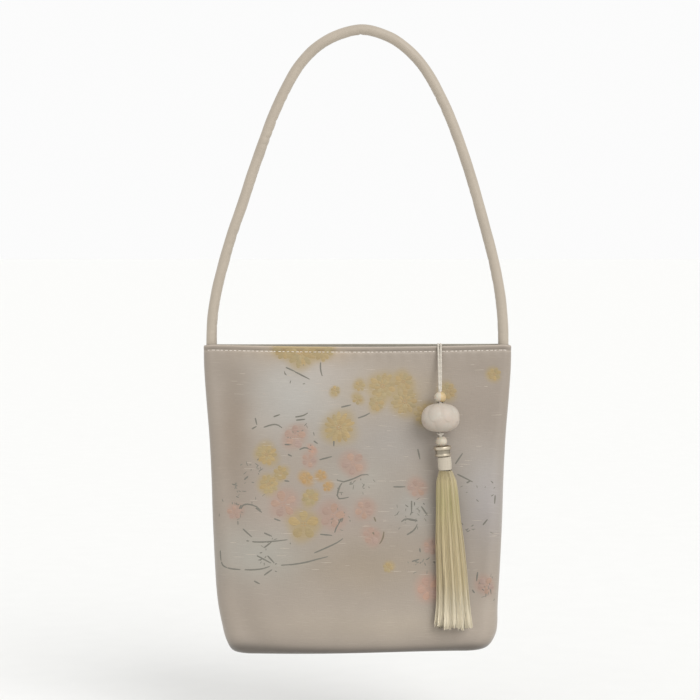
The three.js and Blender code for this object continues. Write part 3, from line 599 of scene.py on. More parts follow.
def wall_level(panel, x, down, height):
    """Level of a place on the wall: the rim sags, droops at its corners and, at the back, on the
    left, all fading downwards, and the base rises a little towards the right."""
    bow = np.maximum(1 - (2 * x / RIM_WIDTH) ** 2, 0)
    droop = panel["droop"] * smooth_step(-x, 0, 0.4 * RIM_WIDTH)
    sag = (panel["sag"] * bow + droop) * (1 - down) ** 3
    corner = RIM_CORNER_DROOP * smooth_step(np.abs(x), 0.47 * RIM_WIDTH, RIM_WIDTH / 2)
    lift = BASE_LIFT * (0.25 + smooth_step(x, -0.3 * RIM_WIDTH, 0.3 * RIM_WIDTH))
    return RIM_LEVEL - down * height - sag - corner * (1 - down) ** 30 + lift * down ** 10


def corner_lean(x, down):
    """How far the cloth moves across at the lower corners: the left one leans in as a bell curve
    of the height, steep below its middle and long above it, and the right one stands out."""
    above = (1 - down) * BODY_HEIGHT
    reach = np.where(above < LEAN_HEIGHT, 9 * MM, 20 * MM)
    left = np.exp(-((above - LEAN_HEIGHT) / reach) ** 2) * smooth_step(-x, 0.2 * RIM_WIDTH, 85 * MM)
    right = np.exp(-((above - 18 * MM) / (10 * MM)) ** 2) * smooth_step(x, 0.3 * RIM_WIDTH, 85 * MM)
    return LEAN_LEFT * left + LEAN_RIGHT * right


def outer_inset(below, column):
    """How far the outside is drawn in by the rolled crest and the hem. Towards the seams the hem
    thins, and the crest's roll is longer and deeper."""
    at_seam = smooth_step(np.abs(column), FACE_SHARE, 1)
    roll = turned(below, HEM_ROLL, HEM_ROLL) * (1 - at_seam)
    roll = roll + turned(below, 2 * HEM_ROLL, RIM_CORNER_HEIGHT) * at_seam
    return roll - hem_form(below) * (1 - 0.9 * at_seam)


def on_panel(panel, across, below, lift):
    """Places that lie on a panel: across is measured round the cloth from the panel's middle,
    as one who faces it sees it, below down from the crest, and lift stands off it."""
    below = np.maximum(below, 0.15 * MM)
    down = below / BODY_HEIGHT
    _, end, corner, flat, _, _ = section(down, outer_inset(below, 0.0) - lift)
    away = np.abs(across)
    round_corner = np.clip((away - flat) / (corner * np.pi / 2), 0, 1)
    past = np.clip((away - flat - corner * np.pi / 2) / (end - corner), 0, 1)
    share = np.where(
        away <= flat, FACE_SHARE * away / flat,
        FACE_SHARE + (CORNER_SHARE - FACE_SHARE) * round_corner + (1 - CORNER_SHARE) * past)
    column = -panel["side"] * np.sign(across) * share
    x, depth = wall_place(panel, column, down, outer_inset(below, column) - lift)
    return np.stack([x, panel["side"] * depth, wall_level(panel, x, down, BODY_HEIGHT)], -1)


def grid_quads(rows, columns, rows_meet=0, columns_meet=0):
    """Quads between neighbouring rows and columns. rows_meet and columns_meet are 1 where the last
    one also meets the first."""
    number = np.arange(rows * columns).reshape(rows, columns)
    number = np.pad(number, ((0, rows_meet), (0, columns_meet)), "wrap")
    corners = number[:-1, :-1], number[1:, :-1], number[1:, 1:], number[:-1, 1:]
    return np.stack(corners, -1).reshape(-1, 4)


def shell_quads(rows, columns):
    """Quads of two grids, one behind the other, joined along their four edges."""
    front = grid_quads(rows, columns)
    back = front[:, ::-1] + rows * columns
    number = np.arange(rows * columns).reshape(rows, columns)
    edge = np.concatenate(
        [number[0, :-1], number[:-1, -1], number[-1, :0:-1], number[:0:-1, 0]])
    after = np.roll(edge, -1)
    rim = np.stack([edge, after, after + rows * columns, edge + rows * columns], -1)
    return np.concatenate([front, back, rim])


def tube_faces(rows, around):
    """Quads round a tube and a fan at each end, whose two centres come after the rings."""
    ring = np.arange(around)
    after = (ring + 1) % around
    last = (rows - 1) * around
    centre = rows * around
    start = np.stack([np.full(around, centre), after, ring], -1)
    end = np.stack([np.full(around, centre + 1), last + ring, last + after], -1)
    return grid_quads(rows, around, 0, 1), np.concatenate([start, end])


def bundle_faces(rows, around, count):
    """Faces of many like tubes that follow one another in one mesh."""
    shift = np.arange(count)[:, None, None] * (rows * around + 2)
    return [(faces + shift).reshape(-1, faces.shape[1]) for faces in tube_faces(rows, around)]


def even_angles(count):
    """Angles spread evenly over a full turn."""
    return np.arange(count) * 2 * np.pi / count


def run_along(points, axis):
    """Distance run from a grid's start down its columns, axis 0, or along its rows, axis 1."""
    run = np.cumsum(np.linalg.norm(np.diff(points, axis=axis), axis=-1), axis)
    return np.pad(run, ((1 - axis, 0), (axis, 0)))


def shades(rng, low, high, count):
    """A random lighter or darker shade for each of count shapes, which leaves alpha alone."""
    return np.hstack([np.repeat(rng.uniform(low, high, (count, 1)), 3, 1), np.ones((count, 1))])


def blended(paint, other, share):
    """Colours moved towards another by a share at each place."""
    return paint * (1 - share[..., None]) + np.array(other) * share[..., None]


def signed_volume(points, faces):
    """Six times the volume inside faces: the sum, over their triangles, of one corner times the
    cross product of the other two. It is under 0 where the faces look inward."""
    total = 0.0
    for k in range(1, faces.shape[1] - 1):
        a, b, c = points[faces[:, 0]], points[faces[:, k]], points[faces[:, k + 1]]
        total += np.einsum("ij,ij->", a, np.cross(b, c))
    return total


def add_piece(name, points, face_sets, materials, stands_for=(), uv=None, tint=None,
              finish=None):
    """Puts arrays into a mesh and gives it its place on the purse. face_sets are arrays of quads
    or triangles, finish the material number of each face. uv is in millimetres."""
    points = np.asarray(points, float).reshape(-1, 3)
    if sum(signed_volume(points, faces) for faces in face_sets) < 0:
        face_sets = [faces[:, ::-1] for faces in face_sets]
    corners = np.concatenate([faces.ravel() for faces in face_sets])
    counts = np.concatenate([np.full(len(faces), faces.shape[1]) for faces in face_sets])
    mesh = bpy.data.meshes.new(name)
    mesh.vertices.add(len(points))
    mesh.vertices.foreach_set("co", points.ravel())
    mesh.loops.add(len(corners))
    mesh.loops.foreach_set("vertex_index", corners)
    mesh.polygons.add(len(counts))
    mesh.polygons.foreach_set("loop_start", np.concatenate([[0], np.cumsum(counts)[:-1]]))
    mesh.polygons.foreach_set("use_smooth", np.ones(len(counts), bool))
    if finish is not None:
        mesh.polygons.foreach_set("material_index", finish)
    if uv is not None:
        layer = mesh.uv_layers.new(name="cloth")
        layer.data.foreach_set("uv", np.asarray(uv, float).reshape(-1, 2)[corners].ravel())
    if tint is not None:
        layer = mesh.color_attributes.new("tint", "FLOAT_COLOR", "POINT")
        layer.data.foreach_set("color", np.asarray(tint, float).reshape(-1, 4).ravel())
    mesh.update(calc_edges=True)
    if mesh.validate():
        raise RuntimeError(f"{name}: the mesh had broken faces")
    for material in materials:
        mesh.materials.append(material)
    piece = bpy.data.objects.new(name, mesh)
    bpy.context.scene.collection.objects.link(piece)
    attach(piece, "root")
    if stands_for:
        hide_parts(*stands_for)
    return piece


SUM = {"operation": "ADD"}
SCALED_SUM = {"operation": "MULTIPLY_ADD"}


def add_node(tree, kind, settings=None, **inputs):
    """Adds a node: settings are its own, and each input is a value, another node's socket, or a
    node, which stands for its first socket. An input's name is written with underscores, and a
    number picks it by its place."""
    node = tree.nodes.new(kind)
    for key, value in (settings or {}).items():
        setattr(node, key, value)
    for key, value in inputs.items():
        name = key.strip("_").replace("_", " ")
        socket = node.inputs[int(name) if name.isdigit() else name]
        if isinstance(value, bpy.types.Node):
            value = value.outputs[0]
        if isinstance(value, bpy.types.NodeSocket):
            tree.links.new(value, socket)
        else:
            socket.default_value = value
    return node


def new_material(name):
    """A material without nodes, and its tree."""
    material = bpy.data.materials.new(name)
    material.use_nodes = True
    material.node_tree.nodes.clear()
    return material, material.node_tree


def satin_brocade():
    """Silk and viscose satin, woven with long floats: a soft sheen, with uneven weft threads that
    show as fine level streaks. The real weft is 0.15 mm; its streaks are drawn 0.7 mm apart."""
    material, tree = new_material("Satin brocade")
    cloth = add_node(tree, "ShaderNodeUVMap", {"uv_map": "cloth"})
    tint = add_node(tree, "ShaderNodeAttribute", {"attribute_name": "tint"})
    noises = []
    for stretch, detail in (
            ((0.07, 1.4, 1), 3), ((0.25, 3.2, 1), 2), ((2.6, 0.2, 1), 2), ((0.03, 0.03, 1), 2)):
        place = add_node(tree, "ShaderNodeMapping", Vector=cloth, Scale=stretch)
        noises.append(add_node(tree, "ShaderNodeTexNoise", Vector=place, Scale=1, Detail=detail))
    slubs, weft, warp, cloud = noises
    bright = add_node(
        tree, "ShaderNodeMapRange", Value=slubs, From_Min=0.58, From_Max=0.76, To_Max=0.13)
    shade = add_node(tree, "ShaderNodeMath", SCALED_SUM, _0=cloud, _1=0.15, _2=0.842)
    shade = add_node(tree, "ShaderNodeMath", SCALED_SUM, _0=weft, _1=0.16, _2=shade)
    shade = add_node(tree, "ShaderNodeMath", SUM, _0=shade, _1=bright)
    height = add_node(tree, "ShaderNodeMath", SCALED_SUM, _0=warp, _1=0.6, _2=weft)
    height = add_node(tree, "ShaderNodeMath", SCALED_SUM, _0=bright, _1=3, _2=height)
    shader = add_node(
        tree, "ShaderNodeBsdfPrincipled",
        Base_Color=add_node(tree, "ShaderNodeHueSaturation", Color=tint, Value=shade),
        Roughness=add_node(tree, "ShaderNodeMath", SCALED_SUM, _0=cloud, _1=0.3, _2=0.31),
        Normal=add_node(
            tree, "ShaderNodeBump", Height=height, Distance=0.16 * MM, Strength=0.7),
        Sheen_Weight=0.25, Sheen_Roughness=0.4, Specular_IOR_Level=0.55)
    add_node(tree, "ShaderNodeOutputMaterial", Surface=shader)
    return material


def facing_satin(paint):
    """The inside of the mouth and walls: the same satin, plain, matt from its wrong side."""
    material, tree = new_material("Plain facing satin")
    cloth = add_node(tree, "ShaderNodeUVMap", {"uv_map": "cloth"})
    place = add_node(tree, "ShaderNodeMapping", Vector=cloth, Scale=(0.3, 2.6, 1))
    weft = add_node(tree, "ShaderNodeTexNoise", Vector=place, Scale=1, Detail=2)
    shade = add_node(tree, "ShaderNodeMath", SCALED_SUM, _0=weft, _1=0.5, _2=0.66)
    shader = add_node(
        tree, "ShaderNodeBsdfPrincipled",
        Base_Color=add_node(tree, "ShaderNodeHueSaturation", Color=paint, Value=shade),
        Roughness=0.72,
        Normal=add_node(tree, "ShaderNodeBump", Height=weft, Distance=0.1 * MM, Strength=0.5))
    add_node(tree, "ShaderNodeOutputMaterial", Surface=shader)
    return material


def brocade_floats():
    """Floss silk that floats over the satin ground as weft: brighter than the ground, and broken
    into fine level streaks. The real threads are 0.2 mm apart, and are drawn 0.45 mm apart."""
    material, tree = new_material("Brocade floss floats")
    cloth = add_node(tree, "ShaderNodeUVMap", {"uv_map": "cloth"})
    tint = add_node(tree, "ShaderNodeAttribute", {"attribute_name": "tint"})
    noises = []
    for stretch, detail in (((0.2, 2.2, 1), 3), ((0.9, 5.0, 1), 2)):
        place = add_node(tree, "ShaderNodeMapping", Vector=cloth, Scale=stretch)
        noises.append(add_node(tree, "ShaderNodeTexNoise", Vector=place, Scale=1, Detail=detail))
    weft, fine = noises
    shade = add_node(tree, "ShaderNodeMath", SCALED_SUM, _0=fine, _1=0.25, _2=0.58)
    shade = add_node(tree, "ShaderNodeMath", SCALED_SUM, _0=weft, _1=0.6, _2=shade)
    height = add_node(tree, "ShaderNodeMath", SUM, _0=weft, _1=fine)
    shader = add_node(
        tree, "ShaderNodeBsdfPrincipled",
        Base_Color=add_node(tree, "ShaderNodeHueSaturation", Color=tint, Value=shade),
        Roughness=0.46,
        Normal=add_node(
            tree, "ShaderNodeBump", Height=height, Distance=0.12 * MM, Strength=0.6),
        Sheen_Weight=0.2, Sheen_Roughness=0.35)
    add_node(tree, "ShaderNodeOutputMaterial", Surface=shader)
    return material


def spun_thread(name, paint, period, roughness):
    """Spun and twisted thread: fine slanting ply lines and a slightly fuzzy surface."""
    material, tree = new_material(name)
    cloth = add_node(tree, "ShaderNodeUVMap", {"uv_map": "cloth"})
    ply = add_node(
        tree, "ShaderNodeTexWave", {"bands_direction": "DIAGONAL"}, Vector=cloth,
        Scale=0.16 * MM / period, Distortion=0.6, Detail=1).outputs["Fac"]
    fuzz = add_node(tree, "ShaderNodeTexNoise", Vector=cloth, Scale=3, Detail=3)
    shade = add_node(tree, "ShaderNodeMath", SCALED_SUM, _0=fuzz, _1=0.3, _2=0.76)
    shade = add_node(tree, "ShaderNodeMath", SCALED_SUM, _0=ply, _1=0.16, _2=shade)
    shader = add_node(
        tree, "ShaderNodeBsdfPrincipled",
        Base_Color=add_node(tree, "ShaderNodeHueSaturation", Color=paint, Value=shade),
        Roughness=roughness,
        Normal=add_node(tree, "ShaderNodeBump", Height=ply, Distance=0.1 * MM, Strength=0.7),
        Sheen_Weight=0.3, Sheen_Roughness=0.5)
    add_node(tree, "ShaderNodeOutputMaterial", Surface=shader)
    return material


def rolled_satin(paint):
    """Satin on the bias round a cord: smooth, with a soft light along its top and fine crossing
    creases where it bends. The weave's streaks run 30 degrees across it."""
    material, tree = new_material("Rolled satin")
    cloth = add_node(tree, "ShaderNodeUVMap", {"uv_map": "cloth"})
    noises = []
    for turn, stretch in ((30, (0.3, 2.4, 1)), (0, (0.55, 0.1, 1)), (0, (0.05, 0.08, 1))):
        place = add_node(
            tree, "ShaderNodeMapping", Vector=cloth, Rotation=(0, 0, math.radians(turn)),
            Scale=stretch)
        noises.append(add_node(tree, "ShaderNodeTexNoise", Vector=place, Scale=1, Detail=3))
    weft, creases, cloud = noises
    shade = add_node(tree, "ShaderNodeMath", SCALED_SUM, _0=cloud, _1=0.25, _2=0.76)
    shade = add_node(tree, "ShaderNodeMath", SCALED_SUM, _0=weft, _1=0.25, _2=shade)
    fine = add_node(tree, "ShaderNodeBump", Height=weft, Distance=0.1 * MM, Strength=0.6)
    shader = add_node(
        tree, "ShaderNodeBsdfPrincipled",
        Base_Color=add_node(tree, "ShaderNodeHueSaturation", Color=paint, Value=shade),
        Roughness=add_node(tree, "ShaderNodeMath", SCALED_SUM, _0=weft, _1=0.3, _2=0.35),
        Normal=add_node(
            tree, "ShaderNodeBump", Height=creases, Distance=0.45 * MM, Strength=0.5,
            Normal=fine),
        Sheen_Weight=0.3, Sheen_Roughness=0.4)
    add_node(tree, "ShaderNodeOutputMaterial", Surface=shader)
    return material


def carved_stone(paint):
    """Carved and tumbled pale stone: matt and waxy, with faint clouds 9 mm across that turn a
    little rosier, and a little light let in."""
    material, tree = new_material("Carved pale stone")
    place = add_node(tree, "ShaderNodeTexCoord").outputs["Object"]
    cloud = add_node(tree, "ShaderNodeTexNoise", Vector=place, Scale=110, Detail=3)
    grain = add_node(tree, "ShaderNodeTexNoise", Vector=place, Scale=900, Detail=2)
    rosier = [value * share for value, share in zip(paint, (1, 0.93, 0.91, 1))]
    share = add_node(tree, "ShaderNodeMapRange", Value=cloud, From_Min=0.35, From_Max=0.65)
    mix = add_node(tree, "ShaderNodeMix", {"data_type": "RGBA"}, _0=share, _6=paint, _7=rosier)
    shader = add_node(
        tree, "ShaderNodeBsdfPrincipled", Base_Color=mix.outputs[2], Roughness=0.46,
        Normal=add_node(tree, "ShaderNodeBump", Height=grain, Distance=0.05 * MM, Strength=0.35),
        Subsurface_Weight=0.12, Subsurface_Scale=1.5 * MM, Subsurface_Radius=(1, 0.8, 0.6))
    add_node(tree, "ShaderNodeOutputMaterial", Surface=shader)
    return material


def turned_stone(name, paint, other, middle, softness):
    """A small turned stone bead, tumbled: waxy with a dull shine, one side another colour, with
    an uneven border at the given place across."""
    material, tree = new_material(name)
    place = add_node(tree, "ShaderNodeTexCoord").outputs["Object"]
    across = add_node(tree, "ShaderNodeSeparateXYZ", Vector=place)
    cloud = add_node(tree, "ShaderNodeTexNoise", Vector=place, Scale=260, Detail=3)
    uneven = add_node(
        tree, "ShaderNodeMath", SCALED_SUM, _0=cloud, _1=1.2 * MM, _2=across.outputs["X"])
    side = add_node(
        tree, "ShaderNodeMapRange", Value=uneven, From_Min=middle - softness,
        From_Max=middle + softness)
    mix = add_node(tree, "ShaderNodeMix", {"data_type": "RGBA"}, _0=side, _6=paint, _7=other)
    shader = add_node(
        tree, "ShaderNodeBsdfPrincipled", Base_Color=mix.outputs[2],
        Roughness=add_node(tree, "ShaderNodeMath", SCALED_SUM, _0=cloud, _1=0.25, _2=0.28),
        Subsurface_Weight=0.1, Subsurface_Scale=1 * MM)
    add_node(tree, "ShaderNodeOutputMaterial", Surface=shader)
    return material


def plated_brass():
    """Cast brass with pale plating, tumbled: soft reflections and fine pitting, and darker in its
    hollow band, where painted shade comes in through its tint."""
    material, tree = new_material("Pale plated brass")
    tint = add_node(tree, "ShaderNodeAttribute", {"attribute_name": "tint"})
    place = add_node(tree, "ShaderNodeTexCoord").outputs["Object"]
    pits = add_node(tree, "ShaderNodeTexNoise", Vector=place, Scale=1500, Detail=3)
    wear = add_node(tree, "ShaderNodeTexNoise", Vector=place, Scale=300, Detail=2)
    shader = add_node(
        tree, "ShaderNodeBsdfPrincipled", Base_Color=tint, Metallic=1,
        Roughness=add_node(tree, "ShaderNodeMath", SCALED_SUM, _0=wear, _1=0.4, _2=0.22),
        Normal=add_node(tree, "ShaderNodeBump", Height=pits, Distance=0.03 * MM, Strength=0.4))
    add_node(tree, "ShaderNodeOutputMaterial", Surface=shader)
    return material


def floss(name, roughness):
    """Loose viscose floss: glossy filaments, each a little lighter or darker than the next."""
    material, tree = new_material(name)
    cloth = add_node(tree, "ShaderNodeUVMap", {"uv_map": "cloth"})
    tint = add_node(tree, "ShaderNodeAttribute", {"attribute_name": "tint"})
    place = add_node(tree, "ShaderNodeMapping", Vector=cloth, Scale=(0.05, 2.5, 1))
    runs = add_node(tree, "ShaderNodeTexNoise", Vector=place, Scale=1, Detail=2)
    shade = add_node(tree, "ShaderNodeMath", SCALED_SUM, _0=runs, _1=0.4, _2=0.8)
    shader = add_node(
        tree, "ShaderNodeBsdfPrincipled",
        Base_Color=add_node(tree, "ShaderNodeHueSaturation", Color=tint, Value=shade),
        Roughness=roughness,
        Normal=add_node(tree, "ShaderNodeBump", Height=runs, Distance=0.08 * MM, Strength=0.5),
        Sheen_Weight=0.15, Sheen_Roughness=0.3)
    add_node(tree, "ShaderNodeOutputMaterial", Surface=shader)
    return material


def studio_paper(paint):
    """Pale studio paper: matt and even, with clouds 25 mm across that can only just be seen."""
    material, tree = new_material("Studio paper")
    place = add_node(tree, "ShaderNodeTexCoord").outputs["Object"]
    grain = add_node(tree, "ShaderNodeTexNoise", Vector=place, Scale=40, Detail=2)
    shade = add_node(tree, "ShaderNodeMath", SCALED_SUM, _0=grain, _1=0.03, _2=0.98)
    shader = add_node(
        tree, "ShaderNodeBsdfPrincipled",
        Base_Color=add_node(tree, "ShaderNodeHueSaturation", Color=paint, Value=shade),
        Roughness=0.9)
    add_node(tree, "ShaderNodeOutputMaterial", Surface=shader)
    return material


def in_repeat(panel, across, below):
    """A place in the cloth's repeat as it falls on a panel, after the shift of that panel."""
    across = across + panel["shift"][0]
    below = below + panel["shift"][1]
    if panel["shift"] != (0, 0):
        across = (across + REPEAT_WIDTH / 2) % REPEAT_WIDTH - REPEAT_WIDTH / 2
        below = below % REPEAT_HEIGHT
    return across, below


def blossom_kinds(colours):
    """Each table of blossoms with the silks of its petals and of its heart."""
    return (
        (GOLD_BLOSSOMS, colours.gold, colours.orange),
        (ORANGE_BLOSSOMS, colours.orange, colours.gold),
        (PINK_BLOSSOMS, colours.pink, colours.rose),
        (ROSE_BLOSSOMS, colours.rose, colours.pink),
    )


def panel_tint(panel, across, below, colours):
    """The ground's colour at each place: washes laid over it as soft ellipses with uneven edges,
    some of them painted light and shade, a soft disc of its own colour under each blossom, a
    slightly darker hem band, a painted highlight along the crest and on the ridge below the
    stitches, a painted shadow in the stitch groove, and painted shade along the base edge, where
    the cloth turns under."""
    across, below = np.broadcast_arrays(across, below)
    tint = np.broadcast_to(np.array(colours.ground, float), (*across.shape, 4)).copy()
    uneven_across = across + MM * np.sin(below / (3.7 * MM) + across / (11 * MM))
    uneven_below = below + MM * np.sin(across / (4.3 * MM) + below / (17 * MM))
    for hex_colour, place, drop, reach_across, reach_below, strength in WASHES_AND_PAINTED_LIGHT:
        centre, level = in_repeat(panel, place * MM, drop * MM)
        away = ((uneven_across - centre) / (reach_across * MM)) ** 2
        away = away + ((uneven_below - level) / (reach_below * MM)) ** 2
        tint = blended(tint, linear(hex_colour), strength * np.exp(-away))
    for blossoms, paint, _ in blossom_kinds(colours):
        for place, drop, radius in zip(*(blossoms[key] for key in ("across", "below", "radius"))):
            centre, level = in_repeat(panel, place * MM, drop * MM)
            away = np.hypot(uneven_across - centre, uneven_below - level) / (radius * MM)
            tint = blended(tint, paint, 0.9 * np.exp(-(away / 1.06) ** 5))
    hem = 1 - 0.1 * (1 - smooth_step(below, STITCH_DROP - 1 * MM, STITCH_DROP + 1 * MM))
    # Painted highlight along the crest of the fold.
    hem = hem + 0.42 * (1 - smooth_step(below, 0.7 * MM, 1.8 * MM))
    # Painted shadow in the groove at the stitch line, broken along it.
    groove = np.exp(-((below - STITCH_DROP + 0.1 * MM) / (0.4 * MM)) ** 2)
    hem = hem - groove * (0.24 + 0.12 * np.sin(across / (2.3 * MM)) * np.sin(across / (5.9 * MM)))
    # Painted highlight on the small ridge just below the stitches.
    hem = hem + 0.16 * np.exp(-((below - STITCH_DROP - 1.3 * MM) / (0.7 * MM)) ** 2)
    # Painted shade towards the base edge, where the cloth turns under.
    base = 1 - 0.1 * smooth_step(below, BODY_HEIGHT - 13 * MM, BODY_HEIGHT - 8 * MM)
    base = base - 0.5 * smooth_step(below, BODY_HEIGHT - 9 * MM, BODY_HEIGHT - 2 * MM)
    tint[..., :3] *= (hem * base)[..., None]
    return tint


def hem_rows():
    """Distances below the crest, close together over the hem's roll and stitches."""
    roll = HEM_ROLL * (1 - np.cos(np.linspace(0, np.pi / 2, 5)))
    upper = np.linspace(HEM_ROLL, STITCH_DROP - STITCH_REACH, 5)[1:]
    stitches = np.linspace(STITCH_DROP - STITCH_REACH, STITCH_DROP + 2 * STITCH_REACH, 12)[1:]
    lower = np.linspace(STITCH_DROP + 2 * STITCH_REACH, 15 * MM, 9)[1:]
    return np.concatenate([roll, upper, stitches, lower])


def panel_skin(panel, inside):
    """One skin of a panel as a grid: from the crest down the wall, round the lower edge, and over
    the flat base to its seam. Returns its places, and how far each is round and down the cloth."""
    hem = hem_rows()
    turn_top = BODY_HEIGHT - SIDE_TURN_HEIGHT
    wall = np.linspace(hem[-1], turn_top, 118)[1:]
    turn = turn_top + SIDE_TURN_HEIGHT * np.sin(np.linspace(0, np.pi / 2, 15)[1:])
    base = np.linspace(0, 1, 9)[1:] ** 0.8
    below = np.concatenate([hem, wall, turn, np.full(len(base), BODY_HEIGHT)])[:, None]
    under = np.concatenate([np.zeros(len(below) - len(base)), base])[:, None]
    face = np.linspace(0, FACE_SHARE, 99)
    corner = np.linspace(FACE_SHARE, CORNER_SHARE, 11)[1:]
    side = CORNER_SHARE + (1 - CORNER_SHARE) * np.sin(np.linspace(0, np.pi / 2, 11)[1:])
    half = np.concatenate([face, corner, side])
    column = np.concatenate([-half[:0:-1], half])[None, :]
    down = below / BODY_HEIGHT
    if inside:
        inset = WALL - turned(below, HEM_ROLL, HEM_ROLL)
        height = BODY_HEIGHT - WALL
    else:
        inset = outer_inset(below, column)
        height = BODY_HEIGHT
    x, depth = wall_place(panel, column, down, inset)
    z = wall_level(panel, x, down, height)
    seam_x = wall_place(panel, np.sign(column), down, inset)[0] * np.abs(column) * SEAM_SHARE
    x = x + (seam_x - x) * under
    depth = depth + (SEAM_GAP / 2 - depth) * under
    z = z + np.where(under > 0, turned(depth, SEAM_ROLL, SEAM_ROLL) * (0 if inside else 1), 0)
    points = np.stack([x, panel["side"] * depth, z], -1)
    round_cloth = run_along(points, 1)
    round_cloth = round_cloth - round_cloth[:, [round_cloth.shape[1] // 2]]
    return points, -panel["side"] * round_cloth, run_along(points, 0)


def bag_panel(panel, colours, brocade, facing):
    """A panel: its brocade outside and its plain inside, joined along their edges."""
    skins = [panel_skin(panel, inside) for inside in (False, True)]
    rows, columns = skins[0][1].shape
    faces = shell_quads(rows, columns)
    quads = (rows - 1) * (columns - 1)
    finish = np.arange(len(faces)) // quads == 1
    points = np.concatenate([skin[0].reshape(-1, 3) for skin in skins])
    uv = np.concatenate([np.stack(skin[1:], -1).reshape(-1, 2) for skin in skins]) / MM
    tint = panel_tint(panel, *skins[0][1:], colours).reshape(-1, 4)
    return add_piece(
        panel["name"] + "_brocade", points, [faces], [brocade, facing],
        [panel["name"]], uv, np.concatenate([tint, tint]), finish.astype(int))


def shape_table(centre, half_width, rise, paint):
    """Shapes for raised work: centre lines of RAISED_ROWS places, half widths along them, and one
    rise and colour each."""
    count = len(centre)
    return {
        "centre": np.asarray(centre, float),
        "half_width": np.broadcast_to(half_width, (count, RAISED_ROWS)),
        "rise": np.broadcast_to(rise, count),
        "paint": np.broadcast_to(paint, (count, 4)),
    }


def joined_shapes(parts):
    """Several tables of shapes as one."""
    return {key: np.concatenate([part[key] for part in parts]) for key in parts[0]}


def raised_work(name, panel, shapes, colours, soft, material):
    """Threads that stand off a panel. Each shape is a closed tube of six sides laid along its
    centre line: three crowned above, its edges just inside the cloth and coloured partly as the
    cloth is, by soft, and one below."""
    centre, half_width = shapes["centre"], shapes["half_width"]
    limit = RIM_WIDTH / 2 - 1 * MM
    inside = (centre[..., 1] > 0.8 * MM) & (centre[..., 1] < BODY_HEIGHT - 3 * MM)
    inside &= np.abs(centre[..., 0]) < limit
    kept = inside.all(1)
    centre, half_width = centre[kept], half_width[kept]
    rise, paint = shapes["rise"][kept][:, None, None], shapes["paint"][kept][:, None, None]
    step = np.gradient(centre, axis=1)
    step /= np.linalg.norm(step, axis=-1, keepdims=True)
    normal = np.stack([-step[..., 1], step[..., 0]], -1)
    across = np.array([-1, -0.55, 0, 0.55, 1, 0])
    crown = np.array([0, 0.8, 1, 0.8, 0, 0])
    sunk = np.array([1, 0, 0, 0, 1, 2])
    ends = np.sin(np.pi * np.linspace(0, 1, RAISED_ROWS)[None, :, None]) ** 0.5
    place = centre[:, :, None] + normal[:, :, None] * (half_width[..., None] * across)[..., None]
    lift = rise * ends * crown - SUNK * sunk - 0.5 * SUNK * (1 - ends)
    tip = np.stack([centre[:, 0], centre[:, -1]], 1)
    count = len(centre)
    place = np.concatenate([place.reshape(count, -1, 2), tip], 1)
    lift = np.concatenate([lift.reshape(count, -1), np.full((count, 2), -SUNK)], 1)
    points = on_panel(panel, place[..., 0], place[..., 1], lift)
    ground = panel_tint(panel, place[..., 0], place[..., 1], colours)
    share = np.ones((count, RAISED_ROWS, 6, 1)) * (1 - soft * (sunk > 0))[:, None]
    share = np.concatenate([share.reshape(count, -1, 1), np.full((count, 2, 1), 1 - soft)], 1)
    tint = ground + (paint[:, 0] - ground) * share
    faces = bundle_faces(RAISED_ROWS, 6, count)
    return add_piece(name, points, faces, [material], (), place / MM, tint)


def petal_lines(across, below, turn, reach, bend):
    """Centre lines of petals and leaves: straight from the foot along turn, bowed by bend."""
    u = np.linspace(0, 1, RAISED_ROWS)[None, :]
    across, below, turn, reach, bend = (
        np.broadcast_to(value, np.shape(turn))[:, None] for value in
        (across, below, turn, reach, bend))
    run, aside = reach * u, bend * reach * 4 * u * (1 - u)
    return np.stack([
        across + run * np.cos(turn) - aside * np.sin(turn),
        below - run * np.sin(turn) - aside * np.cos(turn)], -1)


def petal_outline(width, fullness):
    """Half widths of petals: a smooth swell, fuller towards the tip where fullness is over 1."""
    u = np.linspace(0, 1, RAISED_ROWS)[None, :]
    swell = 0.04 + 0.96 * np.sin(np.pi * u ** fullness) ** 0.75
    return np.reshape(width, (-1, 1)) / 2 * swell


def blossom_shapes(panel, blossoms, paint, heart, rise):
    """Blossoms: rings of petals round a heart, each next ring shorter, higher and half a petal on,
    with knots in the middle."""
    parts = []
    paint, heart = np.array(paint), np.array(heart)
    rng = np.random.default_rng(5)
    for across, below, radius, turn, petals, rings in zip(*blossoms.values()):
        across, below = in_repeat(panel, across * MM, below * MM)
        radius = radius * MM
        for ring in range(int(rings)):
            share = 1 - 0.42 * ring
            count = int(petals)
            angle = np.radians(turn) + (np.arange(count) + 0.5 * ring) * 2 * np.pi / count
            angle = angle + rng.uniform(-0.09, 0.09, count)
            inner = 0.14 * radius
            reach = (share * radius - inner) * rng.uniform(0.86, 1.06, count)
            width = min(2 * np.pi * radius * share * 0.95 / petals, 0.8 * radius)
            swell = 1.35 if petals < 7 else 1.15
            shade = rng.uniform(0.95, 1.07, (count, 1)) * (1 + 0.03 * ring)
            shade = shade * (1 + rng.uniform(-1, 1, (count, 1)) * HUE_DRIFT)
            parts.append(shape_table(
                petal_lines(
                    across + inner * np.cos(angle), below - inner * np.sin(angle), angle, reach,
                    0.03),
                petal_outline(width * rng.uniform(0.85, 1.1, count), swell),
                rise * (1 + 0.5 * ring), paint * shade))
        spots = 4 if petals < 7 else 6
        angle = np.radians(turn + 30) + even_angles(spots)
        size = max(0.12 * radius, 0.45 * MM)
        parts.append(shape_table(
            petal_lines(
                across + size * np.cos(angle) - size * 0.5, below - size * np.sin(angle),
                0.0 * angle, size, 0),
            petal_outline(np.full(spots, size * 0.9), 1), rise * 1.6, heart))
    return joined_shapes(parts)


